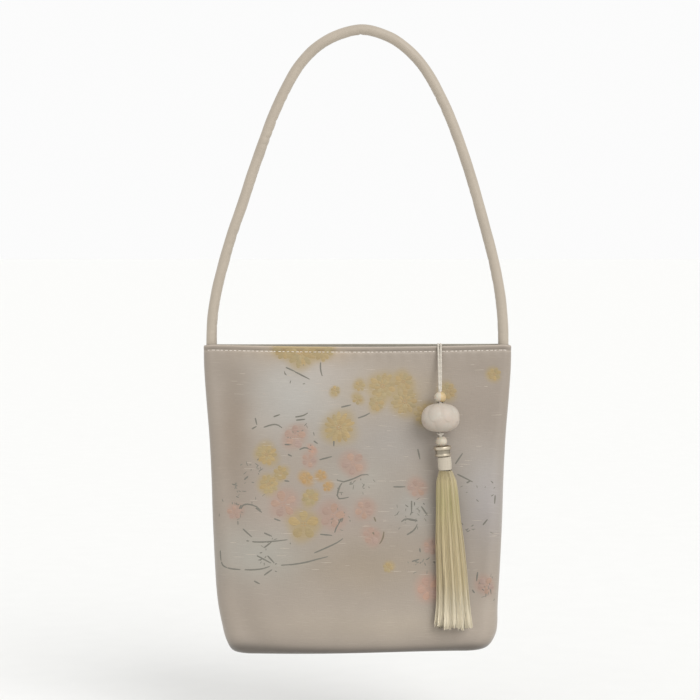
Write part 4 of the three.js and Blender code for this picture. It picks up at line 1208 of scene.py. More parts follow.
def stroke_shapes(panel, strokes, paint, width, rise):
    """Twigs: a smooth line through each stroke's places, widest near its start."""
    lines = []
    for stroke in strokes:
        places = np.array(stroke, float).reshape(-1, 2) * MM
        places[:, 0], places[:, 1] = in_repeat(panel, places[:, 0], places[:, 1])
        flat = np.pad(places, ((0, 0), (0, 1)))
        lines.append(centripetal(flat, RAISED_ROWS)[0][:, :2])
    u = np.linspace(0, 1, RAISED_ROWS)
    taper = (0.4 + 0.6 * np.sin(np.pi * u ** 0.7) ** 0.6) * width / 2
    return shape_table(np.array(lines), taper, rise, paint)


def leaf_shapes(panel, paint, rise):
    """Small leaves scattered by a bell curve round each scatter's middle."""
    rng = np.random.default_rng(3)
    scatter = {name: np.repeat(value, LEAF_SCATTERS["leaves"].astype(int))
               for name, value in LEAF_SCATTERS.items()}
    count = len(scatter["across"])
    across = scatter["across"] + rng.normal(0, 0.6, count) * scatter["spread_across"]
    below = scatter["below"] + rng.normal(0, 0.6, count) * scatter["spread_below"]
    across, below = in_repeat(panel, across * MM, below * MM)
    lines = petal_lines(
        across, below, rng.uniform(0, 2 * np.pi, count), rng.uniform(1.6, 4.2, count) * MM,
        rng.uniform(-0.1, 0.1, count))
    outline = petal_outline(rng.uniform(0.6, 1.2, count) * MM, 0.9)
    shade = shades(rng, 0.9, 1.3, count)
    return shape_table(lines, outline, rise, np.array(paint) * shade)


def float_shapes(panel, paint, rise):
    """Loose weft floats: fine level lines of paler thread, scattered over the patterned part."""
    rng = np.random.default_rng(9)
    count = 110
    across, below = rng.uniform(-88, 92, count) * MM, rng.uniform(8, 156, count) * MM
    across, below = in_repeat(panel, across, below)
    lines = petal_lines(
        across, below, rng.uniform(-0.04, 0.04, count), rng.uniform(3, 11, count) * MM, 0)
    return shape_table(lines, petal_outline(rng.uniform(0.3, 0.5, count) * MM, 1), rise, paint)


def woven_pattern(panel, sizes, colours, silk):
    """All the blossoms, twigs and leaves of one panel, as one piece."""
    rise = sizes.petal_rise
    parts = [
        stroke_shapes(panel, GREY_STROKES, colours.grey_green, 1.6 * MM, 0.7 * rise),
        stroke_shapes(panel, OLIVE_STROKES, colours.olive, 1.6 * MM, 0.7 * rise),
        leaf_shapes(panel, colours.grey_green, 0.7 * rise),
        float_shapes(panel, colours.pale_weft, 0.6 * rise),
    ]
    for blossoms, paint, heart in blossom_kinds(colours):
        parts.append(blossom_shapes(panel, blossoms, paint, heart, rise))
    return raised_work(
        panel["name"] + "_embroidery", panel, joined_shapes(parts), colours, 0.85, silk)


def topstitching(panel, sizes, colours, thread):
    """Machine stitches round the hem, each drawn down at its two ends."""
    _, end, corner, flat, _, _ = section(STITCH_DROP / BODY_HEIGHT, 0.0)
    reach = flat + corner * np.pi / 2 + (end - corner) * 0.6
    count = int(2 * reach / sizes.stitch_pitch)
    start = (np.arange(count) - count / 2) * sizes.stitch_pitch
    rng = np.random.default_rng(41)
    run = sizes.stitch_pitch * rng.uniform(0.45, 0.85, count)
    shade = shades(rng, 0.75, 1.2, count)
    lines = petal_lines(start, STITCH_DROP + 0.6 * MM, np.zeros(count), run, 0)
    blunt = np.full(RAISED_ROWS, sizes.stitch_width / 2)
    blunt[[0, -1]] *= 0.5
    shapes = shape_table(
        lines, blunt, 0.6 * sizes.stitch_width, np.array(colours.topstitch) * shade)
    return raised_work(
        panel["name"] + "_topstitching", panel, shapes, colours, 0.0, thread)


def centripetal(points, steps):
    """A centripetal Catmull-Rom curve through points, resampled at even distances."""
    points = np.asarray(points, float)
    padded = np.concatenate([[2 * points[0] - points[1]], points, [2 * points[-1] - points[-2]]])
    p0, p1, p2, p3 = padded[:-3], padded[1:-2], padded[2:-1], padded[3:]
    d0, d1, d2 = (
        np.linalg.norm(after - before, axis=1, keepdims=True) ** 0.5
        for before, after in ((p0, p1), (p1, p2), (p2, p3)))
    m1 = ((p1 - p0) / d0 - (p2 - p0) / (d0 + d1) + (p2 - p1) / d1) * d1
    m2 = ((p2 - p1) / d1 - (p3 - p1) / (d1 + d2) + (p3 - p2) / d2) * d1
    s = np.linspace(0, 1, 33)[:-1, None, None]
    curve = (
        (2 * s ** 3 - 3 * s ** 2 + 1) * p1 + (s ** 3 - 2 * s ** 2 + s) * m1
        + (3 * s ** 2 - 2 * s ** 3) * p2 + (s ** 3 - s ** 2) * m2)
    curve = np.concatenate([curve.transpose(1, 0, 2).reshape(-1, 3), points[-1:]])
    far = np.pad(np.cumsum(np.linalg.norm(np.diff(curve, axis=0), axis=1)), (1, 0))
    at = np.linspace(0, far[-1], steps)
    return np.stack([np.interp(at, far, curve[:, k]) for k in range(3)], -1), at


def carried(path, radius, reference):
    """A section carried along paths: at each point, a ring of the given radius round the path's
    own direction, starting from the reference direction. Returns rings, then the two end centres.
    path is (..., steps, 3) and radius (..., steps, around)."""
    tangent = np.gradient(path, axis=-2)
    tangent /= np.linalg.norm(tangent, axis=-1, keepdims=True)
    reference = np.broadcast_to(np.asarray(reference, float), path.shape)
    side = reference - (reference * tangent).sum(-1, keepdims=True) * tangent
    side /= np.linalg.norm(side, axis=-1, keepdims=True)
    other = np.cross(tangent, side)
    around = radius.shape[-1]
    angle = even_angles(around)
    ring = (
        side[..., None, :] * (radius * np.cos(angle))[..., None]
        + other[..., None, :] * (radius * np.sin(angle))[..., None])
    rings = path[..., None, :] + ring
    flat = rings.reshape(*path.shape[:-2], -1, 3)
    return np.concatenate([flat, path[..., :1, :], path[..., -1:, :]], -2)


def tube_uv(distances, around, width):
    """Unrolled distances of a tube, along and round it, with its two end centres last."""
    run, turn = np.meshgrid(distances, np.arange(around) / around * width, indexing="ij")
    rings = np.stack([run, turn], -1).reshape(-1, 2)
    ends = [[distances[0], 0], [distances[-1], 0]]
    return np.concatenate([rings, ends]) / MM


def handle_path():
    """The handle's line: from its left end, tucked inside the seam, up the table's arch and down
    to its right end. The ends stand one clearance off the plain wall, without folds."""
    plain = {"folds": {key: value[:0] for key, value in FRONT_FOLDS.items()}, "side": -1}
    span = RIM_WIDTH / 2 - WALL - CLEARANCE - HANDLE_DIAMETER / 2
    tucks = np.array([HANDLE_TUCK, HANDLE_TUCK / 2])
    edge = wall_place(plain, np.ones(2), tucks / BODY_HEIGHT, WALL, CLEARANCE)[0]
    reach = edge + turned(CLEARANCE / 2, SEAM_ROLL, SEAM_ROLL) - CLEARANCE - HANDLE_DIAMETER / 2
    rise = HANDLE["up"] * HANDLE_RISE
    x = np.concatenate([
        -reach, -HANDLE["left"] * span, HANDLE["right"][-2::-1] * span, reach[::-1]])
    z = RIM_LEVEL + np.concatenate([-tucks, rise, rise[-2::-1], -tucks[::-1]])
    return np.stack([x, np.zeros(len(x)), z], -1)


def rolled_handle(sizes, satin):
    """The handle: satin rolled round a cord. A seam runs along its inner back, and creases cross
    its inner side, deepest where it bends most. Each crease is a bell curve of the distance along,
    slanted a little round the handle."""
    steps, around = 860, 56
    path, at = centripetal(handle_path(), steps)
    angle = even_angles(around)[None, :]
    run = at[:, None]
    inner = 0.5 + 0.5 * np.cos(angle - INNER_SIDE)
    rng = np.random.default_rng(11)
    count = 150
    shares = np.concatenate([CREASES["along"], rng.uniform(0.04, 0.96, count)])
    depths = np.concatenate([CREASES["depth"], rng.uniform(0.08, 0.34, count)])
    widths = np.concatenate([CREASES["width"], rng.uniform(0.7, 1.8, count)]) * MM
    slants = rng.uniform(-1.6, 1.6, len(shares)) * MM
    turns = rng.uniform(-1.0, 1.0, len(shares))
    dent = np.zeros((steps, around))
    for share, depth, width, slant, turn in zip(shares, depths, widths, slants, turns):
        away = (run - share * at[-1] - slant * np.sin(angle)) / width
        reach = 0.5 + 0.5 * np.cos(angle - INNER_SIDE - turn)
        dent += depth * np.exp(-away ** 2) * reach ** 2
    seam_at = INNER_SIDE + 0.9
    seam = np.exp(-((np.angle(np.exp(1j * (angle - seam_at)))) / 0.13) ** 2)
    lap = np.exp(-((np.angle(np.exp(1j * (angle - seam_at - 0.3)))) / 0.2) ** 2)
    uneven = 0.012 * np.sin(run / (7 * MM) + angle) + 0.01 * np.sin(run / (3.1 * MM) - 2 * angle)
    radius = HANDLE_DIAMETER / 2 * (1 + uneven + 0.02 * lap - 0.07 * seam)
    radius = radius - sizes.handle_crease * dent * (0.35 + 0.65 * inner)
    points = carried(path, radius, (0, 1, 0))
    piece = add_piece(
        "handle_satin", points, tube_faces(steps, around), [satin], ["handle"],
        tube_uv(at, around, np.pi * HANDLE_DIAMETER))


def pendant_x(drop):
    """Where the pendant hangs, across: its place at the rim and the table's lean to the right."""
    return PENDANT_ACROSS + PENDANT_LEAN * along(PENDANT, "down", drop / TIP_DROP, "lean")


def face_depth(x, drop):
    """Depth of the front panel's smooth face, before the cloth's own unevenness."""
    down = drop / BODY_HEIGHT
    _, end, _, flat, swell, _ = section(down, 0.0)
    share = np.minimum(np.abs(x) / flat, 1)
    return end + swell * (1 - share * share) ** 1.5 + fold_rise(FRONT_FOLDS, x, down)


def pendant_rests():
    """How far out the thread lies at its turning points, and the skirt where it rests."""
    rim_drop = FRONT["sag"] * (1 - (2 * PENDANT_ACROSS / RIM_WIDTH) ** 2)
    crest_out = face_depth(PENDANT_ACROSS, 0.0) + HEM_PROUD + 2 * CLEARANCE + STRAND_DIAMETER / 2
    lotus = face_depth(pendant_x(LOTUS_DROP), LOTUS_DROP) + BEAD_REST + LOTUS_WIDTH / 2
    tilt = LOTUS_TILT * LOTUS_HEIGHT / 2
    half = LOTUS_HEIGHT / 2
    thread = table(
        "drop out", (rim_drop + HEM_ROLL, crest_out), (LOTUS_DROP - half, lotus - tilt),
        (LOTUS_DROP + half, lotus + tilt), (SKIRT_DROP, lotus + tilt))
    rows = [(SKIRT_DROP, lotus + tilt)]
    for share in (0.45, 0.75, 1):
        drop = SKIRT_DROP + share * SKIRT_LENGTH
        width = along(SKIRT, "down", share, "width")
        groove = LOCK_GROOVE * along(SKIRT, "down", share, "groove")
        thick = SKIRT_THICKNESS * along(SKIRT, "down", share, "thickness") / 2 * (1 + groove)
        inner = pendant_x(drop) - SKIRT_SPREAD * width / 4
        rows.append((drop, face_depth(inner, drop) + BEAD_REST + thick))
    return rim_drop, crest_out, thread, table("drop out", *rows)


RIM_DROP, CREST_OUT, THREAD_RESTS, SKIRT_RESTS = pendant_rests()


def pendant_place(drop, aside=0.0):
    """The pendant's line: straight from the rim to the large bead, through it and down to the
    skirt, which bends out over the panel."""
    drop = np.asarray(drop, float)
    straight = THREAD_RESTS["out"][0] + 0 * drop
    for i in range(3):
        low, high = THREAD_RESTS["drop"][i], THREAD_RESTS["drop"][i + 1]
        share = (drop - low) / (high - low)
        out = THREAD_RESTS["out"][i] + share * (THREAD_RESTS["out"][i + 1] - THREAD_RESTS["out"][i])
        straight = np.where((drop >= low) | (i == 0), out, straight)
    out = np.where(drop < SKIRT_DROP, straight, along(SKIRT_RESTS, "drop", drop, "out"))
    return np.stack(np.broadcast_arrays(pendant_x(drop) + aside, -out, RIM_LEVEL - drop), -1)


def threaded(points, drop, height, slant=1.0):
    """Turns and moves a piece made round the origin onto the line between its hole's two ends.
    slant is the share of the line's own slant that the piece takes."""
    top, foot = pendant_place(drop - height / 2), pendant_place(drop + height / 2)
    line = (top - foot) * (slant, slant, 1)
    turn = Vector((0, 0, 1)).rotation_difference(Vector(line)).to_matrix()
    return np.asarray(points) @ np.array(turn).T + (top + foot) / 2


def turned_grid(profile, around, swell=None):
    """A profile of radius and height turned about the axis; swell scales the radius at each place.
    The profile closes on itself through the hole."""
    radius, height = np.asarray(profile, float).T
    angle = even_angles(around)
    reach = radius[:, None] * (1 if swell is None else swell)
    x, y = reach * np.cos(angle), reach * np.sin(angle)
    return np.stack([x, y, np.broadcast_to(height[:, None], x.shape)], -1)


def grid_uv(points):
    """Distances along a grid's rows and columns, in millimetres."""
    return np.stack([run_along(points, 1), run_along(points, 0)], -1) / MM


def add_turned(name, points, drop, height, material, stands_for, tint=None, slant=1.0):
    """Adds a drilled piece, whose grid closes on itself both ways, where it hangs."""
    rows, around = points.shape[:2]
    return add_piece(
        name, threaded(points, drop, height, slant), [grid_quads(rows, around, 1, 1)],
        [material], stands_for, grid_uv(points), tint)


def smooth_profile(corners, steps):
    """A rounded profile through its corners."""
    flat = np.array([(radius, height, 0) for radius, height in corners])
    return centripetal(flat, steps)[0][:, :2]


def strand_path(hand):
    """One strand: up inside the hem, over the rim, and down to the upper bead."""
    aside = hand * STRAND_SPREAD / 2
    arc_radius = (WALL + HEM_PROUD) / 2 + 2 * CLEARANCE + STRAND_DIAMETER / 2
    arc_out = CREST_OUT - arc_radius
    arc_level = RIM_LEVEL - RIM_DROP - (WALL + HEM_PROUD) / 2
    anchor_out = anchor_depth()
    x = PENDANT_ACROSS + aside
    points = [
        (PENDANT_ACROSS, -anchor_out, RIM_LEVEL - ANCHOR_DROP),
        (x, -(anchor_out + arc_out - arc_radius) / 2, RIM_LEVEL - ANCHOR_DROP / 2)]
    for angle in np.linspace(np.pi, 0, 7):
        points.append((
            x, -arc_out - arc_radius * math.cos(angle), arc_level + arc_radius * math.sin(angle)))
    joined_half = (CORE_DIAMETER - STRAND_DIAMETER) / 2
    for share in MERGE_SHARES:
        apart = aside + (hand * joined_half - aside) * share
        points.append(tuple(pendant_place(share * (THREAD_DROP + CORE_DIAMETER), apart)))
    return points


def anchor_depth():
    """Depth of the end knot: half a strand and one clearance inside the wall's inner face."""
    return face_depth(PENDANT_ACROSS, ANCHOR_DROP) - WALL - CLEARANCE - STRAND_DIAMETER / 2


def twisted(points, diameter, pitch, steps, around=20):
    """A thread of two plies: its section is two round plies side by side, turning as it runs."""
    path, at = centripetal(points, steps)
    angle = even_angles(around)[None, :]
    turn = at[:, None] * 2 * np.pi / pitch
    radius = diameter / 2 * (0.7 + 0.3 * np.abs(np.cos(angle - turn)) ** 0.8)
    return carried(path, radius, (1, 0, 0)), tube_uv(at, around, np.pi * diameter)


def joined_pieces(parts):
    """Several closed grids in one mesh: each part is points, its face arrays and its uv."""
    start, points, uvs, faces = 0, [], [], []
    for part_points, part_faces, part_uv in parts:
        faces += [face + start for face in part_faces]
        points.append(part_points)
        uvs.append(part_uv)
        start += len(part_points)
    quads = [face for face in faces if face.shape[1] == 4]
    triangles = [face for face in faces if face.shape[1] == 3]
    sets = [np.concatenate(group) for group in (quads, triangles) if group]
    return np.concatenate(points), sets, np.concatenate(uvs)


def pendant_thread(sizes, thread):
    """The pendant's thread: two twisted strands over the rim, the strands laid together inside the
    beads, a wound knot under the large bead and an end knot inside the bag."""
    parts = []
    for hand in (-1, 1):
        points, uv = twisted(strand_path(hand), STRAND_DIAMETER, sizes.thread_twist, 260)
        parts.append((points, tube_faces(260, 20), uv))
    core_end = NECK_DROP - NECK_LENGTH / 2 + NECK_BORE - CLEARANCE
    drops = [
        THREAD_DROP - CORE_DIAMETER / 2, BEAD_TOP_DROP, LOTUS_DROP - LOTUS_HEIGHT / 2, LOTUS_DROP,
        LOTUS_DROP + LOTUS_HEIGHT / 2, BEAD_BOTTOM_DROP, COLLAR_DROP, core_end]
    points, uv = twisted(pendant_place(np.array(drops)), CORE_DIAMETER, 5 * MM, 90)
    parts.append((points, tube_faces(90, 20), uv))
    parts.append(knot())
    parts.append(end_knot())
    points, faces, uv = joined_pieces(parts)
    add_piece("pendant_thread", points, faces, [thread], ["pendant_cord"], uv)


def closed_turned(profile, around, swell):
    """A turned piece without a hole: rings, then its two ends' centres."""
    grid = turned_grid(profile, around, swell)
    ends = np.array([[0, 0, profile[0][1]], [0, 0, profile[-1][1]]])
    uv = np.concatenate([grid_uv(grid).reshape(-1, 2), [[0, 0], [0, 0]]])
    return np.concatenate([grid.reshape(-1, 3), ends]), tube_faces(len(profile), around), uv


def knot():
    """The knot under the large bead: a cone of wound turns that stand out as slanting ridges."""
    rows, around = 18, 40
    up = np.linspace(-0.5, 0.5, rows)
    half = KNOT_WIDTH / 2 * (0.74 + 0.26 * smooth_step(up, -0.5, 0.3))
    half = half * np.sqrt(np.clip(1.06 - (2 * up) ** 6, 0.2, 1))
    angle = even_angles(around)
    ridges = 1 + 0.07 * np.sin(4 * angle[None, :] + up[:, None] * 7)
    points, faces, uv = closed_turned(np.stack([half, up * KNOT_HEIGHT], -1), around, ridges)
    return threaded(points, KNOT_DROP, KNOT_HEIGHT), faces, uv


def end_knot():
    """The thread's flat end knot against the facing inside."""
    rows, around = 12, 24
    up = np.linspace(-0.96, 0.96, rows)
    profile = np.stack([ANCHOR_WIDTH / 2 * np.sqrt(1 - up ** 2), up * ANCHOR_WIDTH / 2], -1)
    angle = even_angles(around)
    ridges = 1 + 0.05 * np.sin(5 * angle[None, :] + 4 * up[:, None])
    points, faces, uv = closed_turned(profile, around, ridges)
    points = points * (1, STRAND_DIAMETER / ANCHOR_WIDTH, 1)
    return points + (PENDANT_ACROSS, -anchor_depth(), RIM_LEVEL - ANCHOR_DROP), faces, uv


def round_bead(name, diameter, drop, material):
    """A small bead: a circle down the outside, softened into its drilled hole."""
    bore, radius = CORE_DIAMETER / 2 + THREAD_FIT, diameter / 2
    mouth = math.acos((bore + 0.25 * MM) / radius)
    angle = np.linspace(-mouth, mouth, 30)
    outside = np.stack([radius * np.cos(angle), radius * np.sin(angle)], -1)
    hole = np.linspace(outside[-1][1] - 0.2 * MM, outside[0][1] + 0.2 * MM, 8)
    profile = np.concatenate([outside, np.stack([np.full(8, bore), hole], -1)])
    points = turned_grid(profile, 48)
    return add_turned(name + "_stone", points, drop, diameter, material, [name])


def lotus_bead(material):
    """The large bead: two rows of eight carved petals round a drilled hole. Its outline is a full
    flattened ellipse; the upper petals' edges reach just past the middle, where they end in blunt
    tips, and the lower row shows between them."""
    bore = CORE_DIAMETER / 2 + 0.6 * MM
    rows, around = 90, LOTUS_LOBES * 24
    power = 2 / LOTUS_FULLNESS
    mouth = math.acos((2 * bore / LOTUS_WIDTH) ** (1 / power))
    angle = np.linspace(-mouth, mouth, rows)[:, None]
    up = np.sign(angle) * np.abs(np.sin(angle)) ** power
    outward = np.cos(angle) ** power
    turn = even_angles(around)[None, :]
    valley = np.abs(np.sin(turn * LOTUS_LOBES / 2))
    lower_valley = np.abs(np.cos(turn * LOTUS_LOBES / 2))
    fade = smooth_step(outward, 0.15, 0.7)
    tip = -0.34 + 0.30 * (1 - valley ** 1.6)
    upper = smooth_step(up, tip - 0.045, tip + 0.045)
    upper_groove = LOTUS_GROOVE * 0.5 * (1 - valley) ** 1.1
    lower_groove = LOTUS_GROOVE * 0.4 * (1 - lower_valley) ** 1.2 + 0.24 * MM
    groove = (upper_groove * upper + lower_groove * (1 - upper)) * fade
    radius = outward * LOTUS_WIDTH / 2 - groove
    height = np.broadcast_to(up * LOTUS_HEIGHT / 2, radius.shape)
    outside = np.stack([radius * np.cos(turn), radius * np.sin(turn), height], -1)
    hole = turned_grid(
        [(bore, level) for level in np.linspace(height[-1, 0], height[0, 0], 8)[1:-1]], around)
    points = np.concatenate([outside, hole])
    return add_turned(
        "lotus_bead_stone", points, LOTUS_DROP, LOTUS_HEIGHT, material,
        ["lotus_bead"])


def tassel_collar(paint, metal):
    """The collar: a thick rolled lip that the lower bead sits in, a hollow band darkened by painted
    shade, and a thin foot."""
    bore, half, top = CORE_DIAMETER / 2 + THREAD_FIT, COLLAR_WIDTH / 2, COLLAR_HEIGHT / 2
    seat = top - COLLAR_SEAT - CLEARANCE
    outside = smooth_profile([
        (bore, -top), (0.74 * half, -top), (0.86 * half, -0.97 * top), (0.9 * half, -0.84 * top),
        (0.9 * half, -0.66 * top), (0.85 * half, -0.55 * top), (0.84 * half, -0.2 * top),
        (0.87 * half, 0.2 * top), (0.96 * half, 0.3 * top), (1.0 * half, 0.52 * top),
        (0.98 * half, 0.84 * top), (0.88 * half, top), (0.74 * half, 0.96 * top),
        (0.62 * half, 0.8 * top), (0.42 * half, seat - 0.1 * top), (bore, seat - 0.2 * top)], 96)
    hole = [(bore, level) for level in np.linspace(seat - 0.2 * top, -top, 7)[1:-1]]
    profile = np.concatenate([outside, hole])
    points = turned_grid(profile, 72)
    # Painted shade: the hollow band's tint is darkened where shade falls in the recess.
    recess_painted_shade = smooth_step(profile[:, 1], -0.62 * top, -0.42 * top)
    recess_painted_shade = recess_painted_shade * smooth_step(profile[:, 1], 0.4 * top, 0.2 * top)
    recess_painted_shade = recess_painted_shade * (profile[:, 0] > 0.8 * half)
    shade = np.broadcast_to((1 - 0.42 * recess_painted_shade)[:, None, None], (*points.shape[:2], 3))
    tint = np.concatenate([shade, np.ones((*shade.shape[:2], 1))], -1) * np.array(paint)
    add_turned("tassel_collar_metal", points, COLLAR_DROP, COLLAR_HEIGHT, metal,
               ["tassel_collar"], tint, 0.35)


def tassel_neck(silk, paint):
    """The neck: the tassel's floss drawn tight over its head, so that fine ridges run down it,
    bound at its foot by a few turns of thread."""
    bore, half, top = CORE_DIAMETER / 2 + THREAD_FIT, NECK_WIDTH / 2, NECK_LENGTH / 2
    rows, around = 60, 192
    up = np.linspace(-1, 1, rows)
    form = 0.97 + 0.03 * (1 - up ** 2) - 0.1 * np.clip((np.abs(up) - 0.86) / 0.14, 0, 1) ** 2
    bound = smooth_step(up, -0.62, -0.7)
    turns = 0.5 + 0.5 * np.cos(up * top * 2 * np.pi / (0.55 * MM))
    angle = even_angles(around)
    strands = 0.016 * np.cos(30 * angle) + 0.01 * np.cos(47 * angle + 1)
    swell = 1 + strands[None, :] * (1 - bound[:, None]) + 0.02 * (bound * turns)[:, None]
    outside = turned_grid(np.stack([form * half, up * top], -1), around, swell)
    shelf = turned_grid([(0.6 * half, top), (bore, top), (bore, top - NECK_BORE),
                         (0.2 * bore, top - NECK_BORE)], around)
    foot = turned_grid([(0.2 * bore, -top), (0.6 * half, -top)], around)
    points = np.concatenate([foot, outside, shelf])
    tint = np.broadcast_to(np.array(paint, float), (*points.shape[:2], 4))
    add_turned("tassel_neck_silk", points, NECK_DROP, NECK_LENGTH, silk,
               ["tassel_neck"], tint, 0.5)


def skirt_groove(at):
    """Depth of the grooves between the locks at a share of the skirt's length."""
    return LOCK_GROOVE * along(SKIRT, "down", at, "groove")


def skirt_places(drop, at, turn, reach, aside=0):
    """Places in the skirt's oval section: reach is their share of the way out from its line, turn
    their angle round it, and aside moves them across."""
    across = reach * SKIRT_SPREAD / 2 * along(SKIRT, "down", at, "width") * np.cos(turn) + aside
    outward = reach * SKIRT_THICKNESS / 2 * along(SKIRT, "down", at, "thickness") * np.sin(turn)
    return pendant_place(drop) + np.stack([across, outward, np.zeros_like(across)], -1)


def tassel_skirt(sizes, colours, silk):
    """The skirt: hundreds of loose strands, gathered in locks. A strand starts on the head's
    section and keeps its share of each lower section; it sways a little, and ends at its lock's
    own length. The strands nearest the outside lie closest together."""
    rng = np.random.default_rng(23)
    count, steps, around = sizes.strands, 16, 3
    share = np.linspace(0, 1, steps)[None, :]
    turn = rng.uniform(0, 2 * np.pi, (count, 1))
    deep = np.sqrt(rng.uniform(0.5, 1, (count, 1)))
    lock = turn / (2 * np.pi) * SKIRT_LOCKS
    ridge = np.cos(SKIRT_LOCKS * turn)
    drawn = turn - 0.045 * np.sin(SKIRT_LOCKS * turn) * share
    shortfall = LOCK_SHORTFALLS[np.round(lock).astype(int) % SKIRT_LOCKS]
    length_share = 1 - 0.3 * shortfall - rng.uniform(0, 0.035, (count, 1))
    drop = SKIRT_DROP + SKIRT_LENGTH * share * length_share
    at = np.clip(share * length_share, 0, 1)
    reach = 0.95 * deep * (1 + skirt_groove(at) * ridge) - sizes.strand_width / SKIRT_SPREAD
    sway = rng.normal(0, 1, (count, 3, 1))
    wave = (
        sway[:, 0] * np.sin(share * 3.1) + sway[:, 1] * np.sin(share * 7 + sway[:, 2] * 3) * 0.5)
    wave = wave * share * 0.42 * MM
    path = skirt_places(drop, at, drawn, reach, wave)
    thick = sizes.strand_width / 2 * (1 - 0.45 * share ** 6)
    radius = np.broadcast_to(thick[..., None], (count, steps, around))
    points = carried(path, radius, (1, 0, 0))
    tone = rng.uniform(0.94, 1.08, (count, 1, 1))
    pale = smooth_step(share, 0.66, 1) + rng.uniform(-0.15, 0.3, (count, 1)) * share
    green = np.exp(-((share - 0.2) / 0.15) ** 2) * rng.uniform(0, 0.8, (count, 1))
    base, tip, heart = (
        np.array(value)[None, None, :3] for value in
        (colours.tassel, colours.tassel_pale, colours.tassel_green))
    paint = base + (tip - base) * np.clip(pale, 0, 1)[..., None]
    paint = (paint + (heart - paint) * np.clip(green, 0, 1)[..., None]) * tone
    bright = (rng.uniform(0, 1, (count, 1, 1)) < 0.05) * 0.35
    # The last tips are lightened: painted light standing in for the light that passes through thin
    # strands.
    paint = np.clip(paint * (1 + bright + 0.3 * smooth_step(share, 0.86, 1)[..., None]), 0, 1)
    rings = np.repeat(paint, around, 1)
    tint = np.concatenate([rings, paint[:, :1], paint[:, -1:]], 1)
    tint = np.concatenate([tint, np.ones((*tint.shape[:2], 1))], -1)
    run = np.repeat(np.broadcast_to(share * SKIRT_LENGTH, (count, steps)), around, 1)
    run = np.concatenate([run, run[:, :1], run[:, -1:]], 1)
    number = np.broadcast_to(np.arange(count)[:, None] * 7.7 * MM, run.shape)
    uv = np.stack([run, number], -1) / MM
    add_piece(
        "tassel_strands", points, bundle_faces(steps, around, count), [silk],
        ["tassel_skirt"], uv, tint)
    tassel_core(colours, silk)


def tassel_core(colours, silk):
    """What shows between the loose strands: the mass of the strands behind them, a little darker,
    ridged down its length, and closed above the tips, where painted light makes it paler."""
    rows, around = 40, 160
    share = np.linspace(0, CORE_END, rows)[:, None]
    turn = even_angles(around)[None, :]
    drop = np.broadcast_to(SKIRT_DROP + SKIRT_LENGTH * share, (rows, around))
    reach = 0.8 * (1 + skirt_groove(share) * np.cos(SKIRT_LOCKS * turn))
    reach = reach + 0.02 * np.cos(53 * turn + 9 * share)
    reach = reach * (1 - 0.15 * smooth_step(share, 0.9 * CORE_END, CORE_END))
    rings = skirt_places(drop, share, turn, reach)
    ends = pendant_place(np.array([SKIRT_DROP, SKIRT_DROP + CORE_END * SKIRT_LENGTH]))
    points = np.concatenate([rings.reshape(-1, 3), ends])
    uv = np.concatenate([np.stack(np.broadcast_arrays(
        share * SKIRT_LENGTH, turn * SKIRT_SPREAD / 4), -1).reshape(-1, 2), [[0, 0], [0, 0]]]) / MM
    # The core turns paler towards its closed end: painted light that lifts the shade there.
    low = np.repeat(smooth_step(share, 0.72, CORE_END), around, 0)
    tint = blended(np.array(colours.tassel), colours.tassel_pale, np.append(low, [0, 1]))
    add_piece(
        "tassel_core", points, tube_faces(rows, around), [silk],
        ["tassel_skirt"], uv, tint)


def add_stage(sizes, colours):
    """A pale floor below the hanging purse, even white surroundings, a soft key light from the
    upper right of the front, and the camera at the photo's angle."""
    scene = bpy.context.scene
    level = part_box("back_panel")[0][2] - sizes.floor_drop
    reach = 30.0
    mesh = bpy.data.meshes.new("floor")
    mesh.from_pydata(
        [(-reach, -reach, level), (reach, -reach, level), (reach, reach, level),
         (-reach, reach, level)], [], [(0, 1, 2, 3)])
    mesh.materials.append(studio_paper(colours.floor))
    floor = bpy.data.objects.new("floor", mesh)
    scene.collection.objects.link(floor)
    world = bpy.data.worlds.new("studio")
    world.use_nodes = True
    background = world.node_tree.nodes["Background"]
    background.inputs[0].default_value = (1, 1, 1, 1)
    background.inputs[1].default_value = 0.97
    scene.world = world
    scene.view_settings.view_transform = "Standard"
    key = bpy.data.lights.new("key", "SUN")
    key.energy = 1.35
    key.angle = math.radians(36)
    lamp = bpy.data.objects.new("key", key)
    lamp.rotation_euler = Vector((0.45, -0.75, 0.55)).to_track_quat("Z", "Y").to_euler()
    scene.collection.objects.link(lamp)
    camera = bpy.data.cameras.new("camera")
    camera.sensor_width = 36
    camera.lens = camera.sensor_width * VIEW_DISTANCE / VIEW_WIDTH
    camera.clip_end = 100
    eye = bpy.data.objects.new("camera", camera)
    tilt = math.radians(VIEW_ELEVATION)
    away = Vector((0, -math.cos(tilt), math.sin(tilt))) * VIEW_DISTANCE
    eye.location = Vector(VIEW_AIM) + away
    eye.rotation_euler = (-away).to_track_quat("-Z", "Y").to_euler()
    scene.collection.objects.link(eye)
    scene.camera = eye


class PURSE_OT_panels(bpy.types.Operator):
    """Adds the bag's front and back panels in satin brocade"""

    bl_idname = "purse.panels"
    bl_label = "Panels"

    def execute(self, context):
        colours = context.scene.purse_colours
        brocade, facing = satin_brocade(), facing_satin(colours.facing)
        for panel in (FRONT, BACK):
            bag_panel(panel, colours, brocade, facing)
        return {"FINISHED"}


class PURSE_OT_embroidery(bpy.types.Operator):
    """Adds the blossoms, twigs and leaves in raised floss on both panels"""

    bl_idname = "purse.embroidery"
    bl_label = "Embroidery"

    def execute(self, context):
        silk = brocade_floats()
        for panel in (FRONT, BACK):
            woven_pattern(panel, context.scene.purse_sizes, context.scene.purse_colours, silk)
        return {"FINISHED"}


